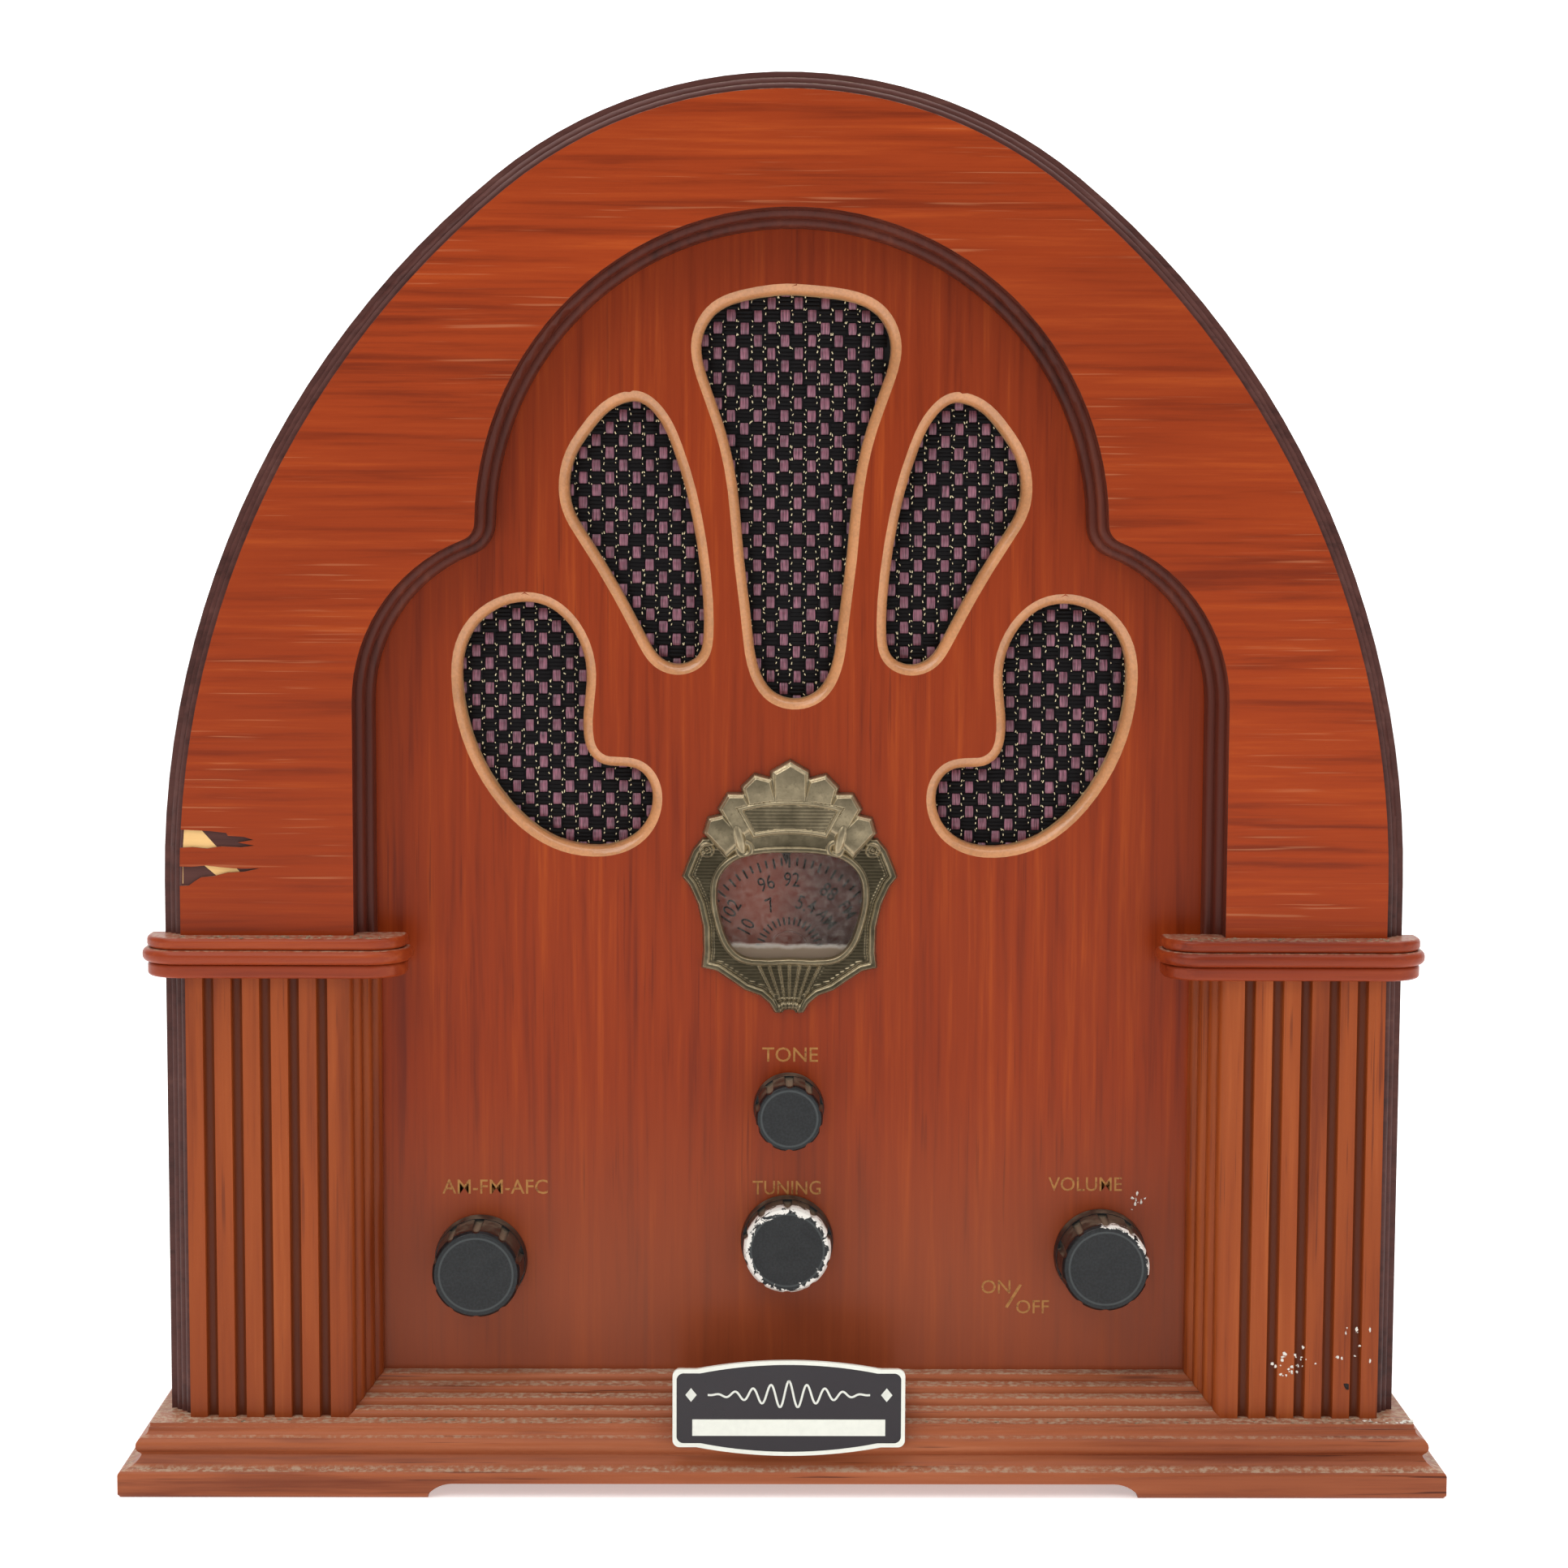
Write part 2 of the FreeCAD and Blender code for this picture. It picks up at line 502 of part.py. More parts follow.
def capital(board):
    """Right-hand capital: a three-tier moulding with rounded front corners, notched round the board."""
    x_in, x_out = CAPITAL_X
    front_y = ARCH_Y - 6.9
    back_y = ARCH_Y + 6.0
    z0, z1 = CAPITAL_Z
    corner = 9.6
    nook = 1 - math.sqrt(0.5)
    layers = []
    tiers = ((z0, z0 + 3.2, 1.2, 0.8), (z0 + 3.2, z0 + 6.4, 0.0, 1.4), (z0 + 6.4, z1, 1.1, 1.0))
    for low, high, inset, soft in tiers:
        r = corner - inset
        xa, xb, yf = x_in + inset, x_out - inset, front_y + inset
        pts = [V(xa, back_y, low), V(xa, yf + r, low), V(xa + r, yf, low), V(xb - r, yf, low),
               V(xb, yf + r, low), V(xb, back_y, low)]
        wire = Part.Wire([
            line(pts[0], pts[1]),
            arc(pts[1], V(xa + r * nook, yf + r * nook, low), pts[2]),
            line(pts[2], pts[3]),
            arc(pts[3], V(xb - r * nook, yf + r * nook, low), pts[4]),
            line(pts[4], pts[5]),
            line(pts[5], pts[0]),
        ])
        tier = Part.Face(wire).extrude(V(0, 0, high - low))
        lips = [e for e in tier.Edges if e.BoundBox.ZLength < 1e-6 and e.BoundBox.YMin < back_y - 0.1]
        layers.append(tier.makeFillet(soft, lips))
    return fuse(layers).cut(board)


def cabinet_shell():
    """Bent plywood hood behind the arch board."""
    hood = slab(arch_outline(SHELL_OUT, PANEL_Y), BACK_Y - PANEL_Y)
    hollow = slab(arch_outline(SHELL_IN, PANEL_Y - 1, BASE_Z - 1), BACK_Y - PANEL_Y + 2)
    return hood.cut(hollow)


def back_cleats():
    """Glue blocks inside the shell that the back panel is screwed to."""
    blocks = []
    for x, z, w, h in BACK_POINTS:
        block = box(x - w, x + w, CLEAT_Y[0], CLEAT_Y[1], z - h, z + h)
        blocks.append(block.cut(rod(1.6, x, z, CLEAT_Y[1] - 11, CLEAT_Y[1] + 1)))
    hood = slab(arch_outline(SHELL_IN + GAP, CLEAT_Y[0] - 20, BASE_Z), 60)
    return group([b.common(hood) for b in blocks])


def back_panel():
    """Hardboard back with rows of vent slots, cord hole and aerial terminal holes."""
    sheet = slab(arch_outline(SHELL_IN + GAP, CLEAT_Y[1], BASE_Z + 0.2), BACK_T)
    slots = []
    for row in range(5):
        z = 196.0 + row * 11.0
        half = 48.0 - row * 4.0
        body = box(-half, half, CLEAT_Y[1] - 1, CLEAT_Y[1] + 4, z - 2.2, z + 2.2)
        slots += [body, rod(2.2, -half, z, CLEAT_Y[1] - 1, CLEAT_Y[1] + 4),
                  rod(2.2, half, z, CLEAT_Y[1] - 1, CLEAT_Y[1] + 4)]
    for row in range(3):
        z = 60.0 + row * 11.0
        body = box(-40, 40, CLEAT_Y[1] - 1, CLEAT_Y[1] + 4, z - 2.2, z + 2.2)
        slots += [body, rod(2.2, -40, z, CLEAT_Y[1] - 1, CLEAT_Y[1] + 4),
                  rod(2.2, 40, z, CLEAT_Y[1] - 1, CLEAT_Y[1] + 4)]
    for x, z, _, _ in BACK_POINTS:
        slots.append(rod(1.8, x, z, CLEAT_Y[1] - 1, CLEAT_Y[1] + 4))
    slots.append(rod(6.1, *CORD_AT, CLEAT_Y[1] - 1, CLEAT_Y[1] + 4))
    for x in TERMINAL_X:
        slots.append(rod(2.4, x, TERMINAL_Z, CLEAT_Y[1] - 1, CLEAT_Y[1] + 4))
    return sheet.cut(slots)


def back_screws():
    """Six round-head screws through the back into the glue blocks."""
    head_y = CLEAT_Y[1] + BACK_T
    return group([screw(3.4, 1.5, x, z, head_y, CLEAT_Y[1] - 10.0, -1) for x, z, _, _ in BACK_POINTS])


def cord_grommet():
    """Rubber bush in the back with a clear bore for a mains cord."""
    x, z = CORD_AT
    y = CLEAT_Y[1]
    body = fuse([rod(6.0, x, z, y - 2.0, y + 5.0), rod(8.0, x, z, y - 2.0, y - 0.05),
                 cone_y(8.0, 6.6, x, z, y + 3.05, y + 5.5)])
    return body.cut(rod(3.4, x, z, y - 4, y + 8))


def aerial_terminals():
    """Moulded strip with two terminal posts behind the back panel and two thumb nuts outside."""
    y = CLEAT_Y[1]
    strip = box(TERMINAL_X[0] - 7, TERMINAL_X[1] + 7, y - 3.0, y - 0.02, TERMINAL_Z - 6, TERMINAL_Z + 6)
    posts = [rod(1.9, x, TERMINAL_Z, y - 7.0, y + 8.0) for x in TERMINAL_X]
    nuts = []
    for x in TERMINAL_X:
        nut = rod(4.0, x, TERMINAL_Z, y + 3.02, y + 7.0)
        for k in range(12):
            a = 2 * math.pi * k / 12
            nut = nut.cut(rod(0.5, x + 4.1 * math.cos(a), TERMINAL_Z + 4.1 * math.sin(a), y + 3, y + 7.1))
        nuts.append(nut)
    return fuse([strip] + posts + nuts)


# ---------------------------------------------------------------- dial group
def banner_wire(margin, y):
    """Outline of the curved banner above the window, widened on all sides by a margin."""
    centre_z = 112.1
    r_low, r_top = 37.6 - margin, 44.1 + margin
    half = 0.235 + margin * 0.024
    corners = ((r_low, -half), (r_low, 0.0), (r_low, half), (r_top, half), (r_top, 0.0), (r_top, -half))
    pts = [V(FACE_X + r * math.sin(a), y, centre_z + r * math.cos(a)) for r, a in corners]
    return Part.Wire([arc(pts[0], pts[1], pts[2]), line(pts[2], pts[3]), arc(pts[3], pts[4], pts[5]),
                      line(pts[5], pts[0])])


def escutcheon():
    """Cast dial surround: leaf-edged plate, petal crown, banner, window lip and a fan below."""
    y = PANEL_Y - PLATE_T
    right = [V(FACE_X + x, y, z) for x, z in LEAF_EDGE]
    left = [V(FACE_X - x, y, z) for x, z in reversed(LEAF_EDGE)]
    parts = [polygon(right + left).extrude(V(0, PLATE_T, 0))]
    for x, z, r, h in PETALS:
        for side in ((1, -1) if x else (1,)):
            petal = rod(r, FACE_X + side * x, z, PANEL_Y - h, PANEL_Y)
            front = [e for e in petal.Edges if abs(e.BoundBox.YMax - (PANEL_Y - h)) < 1e-4]
            parts.append(petal.makeChamfer(PLATE_T, front))
    lip_h, frame_h, field_h = 0.7, 1.5, 0.9
    parts.append(slab(window_outline(1.5, y - lip_h), PLATE_T + lip_h))
    parts.append(slab(banner_wire(0.9, y - frame_h), PLATE_T + frame_h))
    field = slab(banner_wire(0.0, y - frame_h - 1), frame_h - field_h + 1)
    for k in range(-3, 4):
        foot, spread = k * 0.75, k * 2.3
        ray = polygon([V(FACE_X + foot - 0.25, y - 0.5, 108.7), V(FACE_X + foot + 0.25, y - 0.5, 108.7),
                       V(FACE_X + spread + 0.45, y - 0.5, 119.1), V(FACE_X + spread - 0.45, y - 0.5, 119.1)])
        parts.append(ray.extrude(V(0, 0.6, 0)))
    solid = parts[0].fuse(parts[1:]).cut(field)
    solid = solid.cut(slab(window_outline(0.0, PANEL_Y - 8), 12))
    for x, z in ESCUTCHEON_PINS:
        solid = solid.cut(rod(PIN_R + 0.05, FACE_X + x, z, PANEL_Y - PIN_SOCKET, PANEL_Y + 1))
    return solid


def escutcheon_pins():
    """Three steel studs from blind sockets in the dial surround into the panel."""
    front_y = PANEL_Y - PIN_SOCKET + 0.1
    return group([rod(PIN_R, FACE_X + x, z, front_y, PANEL_Y + 5.5) for x, z in ESCUTCHEON_PINS])


def dial_window():
    """Clear plastic pane set in the panel behind the surround."""
    return slab(window_outline(0.5, PANEL_Y + 0.02), 1.2)


def dial_disc():
    """Translucent scale disc on the tuning capacitor's shaft."""
    disc = rod(DIAL_R, FACE_X, DIAL_Z, *DISC_Y)
    boss = rod(4.5, FACE_X, DIAL_Z, DISC_Y[0] - 0.9, DISC_Y[0])
    return disc.fuse(boss).cut(rod(CAP_SHAFT_R, FACE_X, DIAL_Z, DISC_Y[0] - 0.2, DISC_Y[1] + 1))


def dial_drum():
    """Grooved cord drum behind the disc, with its hub."""
    y0, y1 = DRUM_Y
    body = fuse([rod(DRUM_R, FACE_X, DIAL_Z, y0 + 2.0, y1), rod(5.5, FACE_X, DIAL_Z, DISC_Y[1], y0 + 2.0)])
    groove = rod(DRUM_R + 1, FACE_X, DIAL_Z, y0 + 3.6, y1 - 1.6).cut(
        rod(DRUM_R - 1.6, FACE_X, DIAL_Z, y0 + 3.6, y1 - 1.6))
    body = body.cut(groove)
    for k in range(4):
        a = math.pi / 4 + k * math.pi / 2
        body = body.cut(rod(4.0, FACE_X + 10.5 * math.cos(a), DIAL_Z + 10.5 * math.sin(a), y0, y1 + 1))
    return body.cut(rod(CAP_SHAFT_R, FACE_X, DIAL_Z, y0 - 4, y1 + 1))


def gang_frame():
    """Folded steel frame of the tuning capacitor with end plates, standing on a bracket."""
    x, z = GANG_AT
    y0, y1 = GANG_Y
    front = box(x - 19, x + 19, y0, y0 + 1.6, z - 20, z + 17)
    rear = box(x - 19, x + 19, y1 - 1.6, y1, z - 20, z + 17)
    floor = box(x - 19, x + 19, y0, y1, z - 20, z - 18.4)
    body = fuse([front, rear, floor])
    return body.cut(rod(CAP_SHAFT_R + 0.06, x, z, y0 - 1, y1 + 1))


def gang_rotor():
    """Capacitor spindle with two packs of half-round vanes."""
    x, z = GANG_AT
    y0, y1 = GANG_Y
    parts = [rod(CAP_SHAFT_R, x, z, DISC_Y[0] - 0.2, y1 + 1.5)]
    for pack in (y0 + 5.0, y0 + 18.0):
        for k in range(4):
            y = pack + k * 2.4
            vane = rod(14.5, x, z, y, y + 0.6).cut(box(x - 16, x + 16, y - 1, y + 2, z, z + 16))
            parts.append(vane)
    return fuse(parts)


def gang_stator():
    """Fixed vanes between the rotor vanes, held on two insulated rails."""
    x, z = GANG_AT
    y0, y1 = GANG_Y
    parts = [box(x - 17.5, x - 15.2, y0 + 1.62, y1 - 1.62, z + 4, z + 9),
             box(x + 15.2, x + 17.5, y0 + 1.62, y1 - 1.62, z + 4, z + 9)]
    for pack in (y0 + 5.0, y0 + 18.0):
        for k in range(4):
            y = pack + 1.2 + k * 2.4
            plate = box(x - 16, x + 16, y, y + 0.6, z - 1, z + 13).cut(rod(4.6, x, z, y - 1, y + 2))
            parts.append(plate)
    return fuse(parts)


def gang_bracket():
    """Bent steel bracket that carries the tuning capacitor above the circuit board."""
    x, z = GANG_AT
    y0, y1 = GANG_Y
    shelf = box(x - 22, x + 22, y0, y1 + 10, z - 22, z - 20)
    leg = box(x - 22, x + 22, y1 + 8, y1 + 10, BASE_Z, z - 20)
    foot = box(x - 22, x + 22, y1 + 10, y1 + 24, BASE_Z, BASE_Z + 2)
    rib = [box(x + s * 21 - 1, x + s * 21 + 1, y1 - 6, y1 + 8.5, z - 36, z - 21) for s in (-1, 1)]
    return fuse([shelf, leg, foot] + rib)


def dial_lamp():
    """Small lamp and its clip above and behind the edge of the dial disc."""
    x, z, y = FACE_X + 33.0, 129.0, PANEL_Y + PANEL_T
    clip = fuse([box(x - 5, x + 5, y, y + 1.2, z - 8, z + 8), box(x - 5, x + 5, y, y + 14, z - 8, z - 6.8)])
    holder = post(4.0, x, y + 8, z - 6.8, z + 1)
    bulb = post(3.0, x, y + 8, z + 1, z + 6).fuse(Part.makeSphere(3.0, V(x, y + 8, z + 6)))
    return fuse([clip, holder, bulb])


# ---------------------------------------------------------------- knobs and controls
def knob(name):
    """Control knob: plain skirt, scalloped grip and a bevelled flat cap, bored for its shaft."""
    x, z, r, front_y = KNOBS[name]
    x += FACE_X
    cap_y = front_y + 0.9
    skirt_y = KNOB_BACK_Y - 3.2
    cap = cone_y(r * 0.88, r * 0.93, x, z, front_y, cap_y)
    grip = cone_y(r * 0.93, r * 0.965, x, z, cap_y, skirt_y)
    skirt = cone_y(r * 0.975, r, x, z, skirt_y, KNOB_BACK_Y)
    body = fuse([cap, grip, skirt])
    front = [e for e in body.Edges if abs(e.BoundBox.YMax - front_y) < 1e-4]
    body = body.makeFillet(0.35, front)
    groove_r = 1.2
    for k in range(GRIPS):
        a = math.pi / 2 + 2 * math.pi * k / GRIPS
        reach = r * 0.965 + groove_r - 0.85
        body = body.cut(rod(groove_r, x + reach * math.cos(a), z + reach * math.sin(a), front_y - 1, skirt_y))
    return body.cut(rod(SHAFT_R, x, z, front_y + KNOB_BORE, KNOB_BACK_Y + 1))


def shaft(name, depth):
    """Steel control shaft, ending a given depth behind the panel."""
    x, z, _, front_y = KNOBS[name]
    return rod(SHAFT_R, FACE_X + x, z, front_y + KNOB_BORE, POT_Y + depth)


def rotary_control(name, r, length, lugs):
    """Panel-mounted rotary control: threaded bush, round can and a row of solder lugs."""
    x, z = FACE_X + KNOBS[name][0], KNOBS[name][1]
    pitch = 4.5
    parts = [rod(BUSH_R, x, z, PANEL_Y + 0.6, POT_Y), rod(r, x, z, POT_Y, POT_Y + length)]
    if lugs:
        parts.append(box(x - r * 0.8, x + r * 0.8, POT_Y + 1.5, POT_Y + 3.1, z - r - 4, z - r * 0.5))
    for k in range(lugs):
        lug_x = x + (k - (lugs - 1) / 2) * pitch
        parts.append(box(lug_x - 0.8, lug_x + 0.8, POT_Y + 1.9, POT_Y + 2.7, z - r - 9, z - r - 3))
    return fuse(parts).cut(rod(SHAFT_R + RUN_FIT, x, z, PANEL_Y - 2, POT_Y + length - 1.5))


def volume_control():
    """Volume potentiometer with the mains switch can on its back."""
    x, z = FACE_X + KNOBS["volume"][0], KNOBS["volume"][1]
    parts = [rotary_control("volume", 8.5, 9.0, 3), rod(8.0, x, z, POT_Y + 9.0, POT_Y + 17.0)]
    for side in (-1, 1):
        tag_x = x + side * 4.3
        parts.append(box(tag_x - 0.7, tag_x + 0.7, POT_Y + 16.9, POT_Y + 21, z - 1, z + 1))
    return fuse(parts)


def band_switch():
    """Three-position wafer switch for the AM, FM and AFC ranges."""
    x, z = FACE_X + KNOBS["band"][0], KNOBS["band"][1]
    parts = [rotary_control("band", 8.0, 7.0, 0),
             box(x - 15, x + 15, POT_Y + 14, POT_Y + 15.6, z - 13, z + 13),
             box(x - 14, x + 14, POT_Y, POT_Y + 1.5, z - 9, z + 9)]
    parts += [rod(1.4, x + side * 11, z, POT_Y, POT_Y + 18) for side in (-1, 1)]
    return fuse(parts).cut(rod(SHAFT_R + RUN_FIT, x, z, PANEL_Y - 2, POT_Y + 5.5))


def tuning_bearing():
    """Threaded bearing for the tuning spindle, with its rear support plate."""
    x, z = FACE_X + KNOBS["tuning"][0], KNOBS["tuning"][1]
    half, wall, rear_y = 8.0, 1.2, POT_Y + 17.0
    parts = [rod(BUSH_R, x, z, PANEL_Y + 0.6, POT_Y),
             box(x - half, x + half, POT_Y, POT_Y + wall, z - half, z + half),
             box(x - half, x + half, rear_y, rear_y + 1.5, z - half, z + half)]
    for side in (-1, 1):
        arm_x = x + side * (half - wall / 2)
        parts.append(box(arm_x - wall / 2, arm_x + wall / 2, POT_Y, rear_y + 1.5, z - half, z + half))
    return fuse(parts).cut(rod(SHAFT_R + RUN_FIT, x, z, PANEL_Y - 2, POT_Y + 20))


def control_nuts():
    """Hexagon nuts recessed under the four knobs, one per control bush."""
    nuts = []
    for x, z, _, _ in KNOBS.values():
        cx = FACE_X + x
        pts = [V(cx + 5.2 * math.cos(math.pi * k / 3), PANEL_Y - 0.75, z + 5.2 * math.sin(math.pi * k / 3))
               for k in range(6)]
        nut = polygon(pts).extrude(V(0, 0.75, 0))
        nuts.append(nut.cut(rod(SHAFT_R + RUN_FIT, cx, z, PANEL_Y - 2, PANEL_Y + 2)))
    return group(nuts)


def tuning_spindle():
    """Tuning shaft with the small grooved pulley that drives the dial cord."""
    x, z = FACE_X + KNOBS["tuning"][0], KNOBS["tuning"][1]
    y0 = DRUM_Y[0] + 3.0
    cord_r, cheek_r = 3.2, 4.4
    groove = rod(cheek_r + 1, x, z, y0 + 1.0, y0 + 4.0).cut(rod(cord_r, x, z, y0 + 1.0, y0 + 4.0))
    return fuse([shaft("tuning", 21.0), rod(cheek_r, x, z, y0, y0 + 5.0).cut(groove)])


# ---------------------------------------------------------------- grille and speaker
def grille_sheet(y, depth):
    """Arched sheet behind the grille openings, notched round the dial disc."""
    sheet = slab(arch_outline(26.0, y), depth)
    low_z = 141.0
    sheet = sheet.cut(box(-HALF_W, HALF_W, y - 1, y + depth + 1, 0, low_z))
    notch = box(FACE_X - 28.5, FACE_X + 28.5, y - 1, y + depth + 1, low_z - 1, DIAL_Z + DIAL_R + 3.2)
    sheet = sheet.cut(notch)
    for x, z in BAFFLE_POINTS:
        sheet = sheet.cut(rod(1.3, x, z, y - 1, y + depth + 1))
    return sheet


def speaker_baffle():
    """Hardboard baffle that clamps the cloth and carries the loudspeaker."""
    board = grille_sheet(BAFFLE_Y, BAFFLE_T)
    board = board.cut(rod(BAFFLE_HOLE_R, FACE_X, SPEAKER_Z, BAFFLE_Y - 1, BASKET_Y + 1))
    for x, z in SPEAKER_POINTS:
        board = board.cut(rod(1.1, x, z, BAFFLE_Y - 1, BASKET_Y + 1))
    return board


def baffle_screws():
    """Six screws that pull the baffle and cloth against the panel."""
    return group([screw(2.8, 1.25, x, z, BASKET_Y, BASKET_Y - BAFFLE_SCREW_L, -1) for x, z in BAFFLE_POINTS])


def speaker_screws():
    """Four screws through the speaker's rim."""
    return group([screw(1.95, 1.0, x, z, BASKET_Y + 1.2, BASKET_Y - 4.0, -1) for x, z in SPEAKER_POINTS])


def revolve_y(points, x, z):
    """Solid of revolution about an axis along Y from (radius, y) profile points."""
    face = polygon([V(x + r, y, z) for r, y in points])
    return face.revolve(V(x, 0, z), Y_AXIS, 360)


def speaker_basket():
    """Pressed steel basket: flat rim, conical arms with four windows and a rear ring."""
    x, z = FACE_X, SPEAKER_Z
    y = BASKET_Y
    body = revolve_y([(46.5, y), (SPEAKER_R, y), (SPEAKER_R, y + 1.2), (46.8, y + 1.2), (26.0, y + 21),
                      (26.0, y + 24), (12.0, y + 24), (12.0, y + 22.8), (24.8, y + 22.8), (24.8, y + 20.4),
                      (45.4, y + 1.4), (45.4, y)], x, z)
    for k in range(4):
        window = box(-13, 13, y + 3.2, y + 19.5, 24, 60)
        window.translate(V(x, 0, z))
        window.rotate(V(x, 0, z), Y_AXIS, 90 * k)
        body = body.cut(window)
    for px, pz in SPEAKER_POINTS:
        body = body.cut(rod(1.1, px, pz, y - 1, y + 3))
    return body


def speaker_magnet():
    """Ring magnet between two steel plates, with the pole piece standing in the voice coil gap."""
    y = BASKET_Y + 24
    profile = [(10.6, 0), (22, 0), (22, 2.5), (25, 2.5), (25, 12), (22, 12), (22, 14.5), (0, 14.5),
               (0, -1), (8.8, -1), (8.8, 12), (14, 12), (14, 2.5), (10.6, 2.5)]
    return revolve_y([(r, y + d) for r, d in profile], FACE_X, SPEAKER_Z)


def speaker_cone():
    """Paper cone with its dust cap and the voice coil former on its neck."""
    y = BASKET_Y
    cone = [(39.0, -0.2), (39.6, -0.2), (39.6, 0.3), (10.1, 19.0), (10.1, 29.0), (9.3, 29.0), (9.3, 18.2),
            (39.0, 0.0)]
    cap = [(0, 12.6), (5.5, 13.4), (12.6, 15.95), (12.2, 16.7), (5.3, 14.2), (0, 13.4)]
    return fuse([revolve_y([(r, y + d) for r, d in points], FACE_X, SPEAKER_Z) for points in (cone, cap)])


def speaker_surround():
    """Soft roll between the cone and the basket's rim."""
    x, z = FACE_X, SPEAKER_Z
    y = BASKET_Y
    r0, r1 = 39.7, 45.3
    mid = (r0 + r1) / 2
    face = Part.Face(Part.Wire([
        line(V(x + r0, y + 0.9, z), V(x + r0, y + 0.1, z)),
        arc(V(x + r0, y + 0.1, z), V(x + mid, y - 2.4, z), V(x + r1, y + 0.1, z)),
        line(V(x + r1, y + 0.1, z), V(x + r1, y + 0.9, z)),
        arc(V(x + r1, y + 0.9, z), V(x + mid, y - 1.6, z), V(x + r0, y + 0.9, z)),
    ]))
    return face.revolve(V(x, 0, z), Y_AXIS, 360)


# ---------------------------------------------------------------- electronics
def circuit_board():
    """Main receiver board lying on four standoffs behind the bracket."""
    x0, x1, y0, y1 = BOARD
    board = box(x0, x1, y0, y1, BOARD_Z, BOARD_Z + 1.6)
    for x, y in STANDOFFS:
        board = board.cut(post(1.5, x, y, BOARD_Z - 1, BOARD_Z + 3))
    return board


def board_standoffs():
    """Four threaded pillars under the circuit board."""
    return group([post(3.0, x, y, BASE_Z, BOARD_Z).cut(post(1.2, x, y, BOARD_Z - 8, BOARD_Z + 1))
                  for x, y in STANDOFFS])


def board_screws():
    """Four screws that hold the circuit board on its pillars."""
    out = []
    for x, y in STANDOFFS:
        head = post(2.8, x, y, BOARD_Z + 1.6, BOARD_Z + 3.4)
        head = head.makeFillet(0.9, [e for e in head.Edges if e.BoundBox.ZMin > BOARD_Z + 3.3])
        out.append(head.fuse(post(1.2, x, y, BOARD_Z - 6, BOARD_Z + 1.6)))
    return group(out)


def if_transformers():
    """Four screened tuning coils with a slotted core in the top of each."""
    cans = []
    for k in range(4):
        x = -88.0 + 18.0 * k
        can = box(x - 5, x + 5, 40, 50, BOARD_Z + 1.6, BOARD_Z + 14)
        can = can.makeFillet(0.8, [e for e in can.Edges if abs(e.BoundBox.ZMax - e.BoundBox.ZMin) > 5])
        well = post(2.6, x, 45, BOARD_Z + 12, BOARD_Z + 15)
        core = post(2.4, x, 45, BOARD_Z + 11.9, BOARD_Z + 13.4).cut(
            box(x - 2, x + 2, 44.7, 45.3, BOARD_Z + 12.6, BOARD_Z + 14))
        cans.append(can.cut(well).fuse(core))
    return group(cans)


def capacitors():
    """Upright electrolytic capacitors on the board."""
    cans = []
    for x, y, r, h in ((-70, 58, 5, 16), (-52, 58, 4, 12), (8, 56, 7, 24), (26, 52, 5, 16)):
        can = post(r, x, y, BOARD_Z + 1.6, BOARD_Z + 1.6 + h)
        cans.append(can.makeFillet(0.7, [e for e in can.Edges if e.Closed and e.BoundBox.ZMax < BOARD_Z + 1.7
                                         or e.Closed and e.BoundBox.ZMin > BOARD_Z + 1.5 + h]))
    return group(cans)


def transformer_core():
    """Laminated mains transformer core with mounting feet."""
    x, y = TR_AT
    core = box(x - 22, x + 22, y - 9, y + 9, BASE_Z + 2, BASE_Z + 38)
    window = [box(x - 15, x - 7.5, y - 10, y + 10, BASE_Z + 9, BASE_Z + 31),
              box(x + 7.5, x + 15, y - 10, y + 10, BASE_Z + 9, BASE_Z + 31)]
    strap = box(x - 30, x + 30, y - 8, y + 8, BASE_Z, BASE_Z + 2)
    return core.cut(window).fuse(strap).removeSplitter()


def transformer_winding():
    """Taped winding on the middle limb of the transformer core."""
    x, y = TR_AT
    coil = box(x - 14.8, x + 14.8, y - 16, y + 16, BASE_Z + 9.3, BASE_Z + 30.7)
    coil = coil.makeFillet(4.0, [e for e in coil.Edges if abs(e.BoundBox.ZMax - e.BoundBox.ZMin) > 5])
    limb = box(x - 7.6, x + 7.6, y - 9.1, y + 9.1, BASE_Z + 8, BASE_Z + 33)
    return coil.cut(limb)


def chassis_screws():
    """Four alike screws: two in the bracket's foot and two in the transformer's feet."""
    x, y = TR_AT
    places = [(FACE_X + s * 12, GANG_Y[1] + 17) for s in (-1, 1)] + [(x + s * 26, y) for s in (-1, 1)]
    return group([post(3.0, px, py, BASE_Z + 2.0, BASE_Z + 4.0) for px, py in places])


def ferrite_rod():
    """Ferrite aerial rod."""
    bar = Part.makeCylinder(5.0, 130.0, V(-65, ROD_Y, ROD_Z), X_AXIS)
    return bar.makeFillet(0.6, [e for e in bar.Edges if e.Closed])


def ferrite_coil():
    """Litz coil on a paper sleeve, slid on the aerial rod."""
    outer = Part.makeCylinder(6.6, 34.0, V(-58, ROD_Y, ROD_Z), X_AXIS)
    return outer.cut(Part.makeCylinder(5.05, 40.0, V(-60, ROD_Y, ROD_Z), X_AXIS))


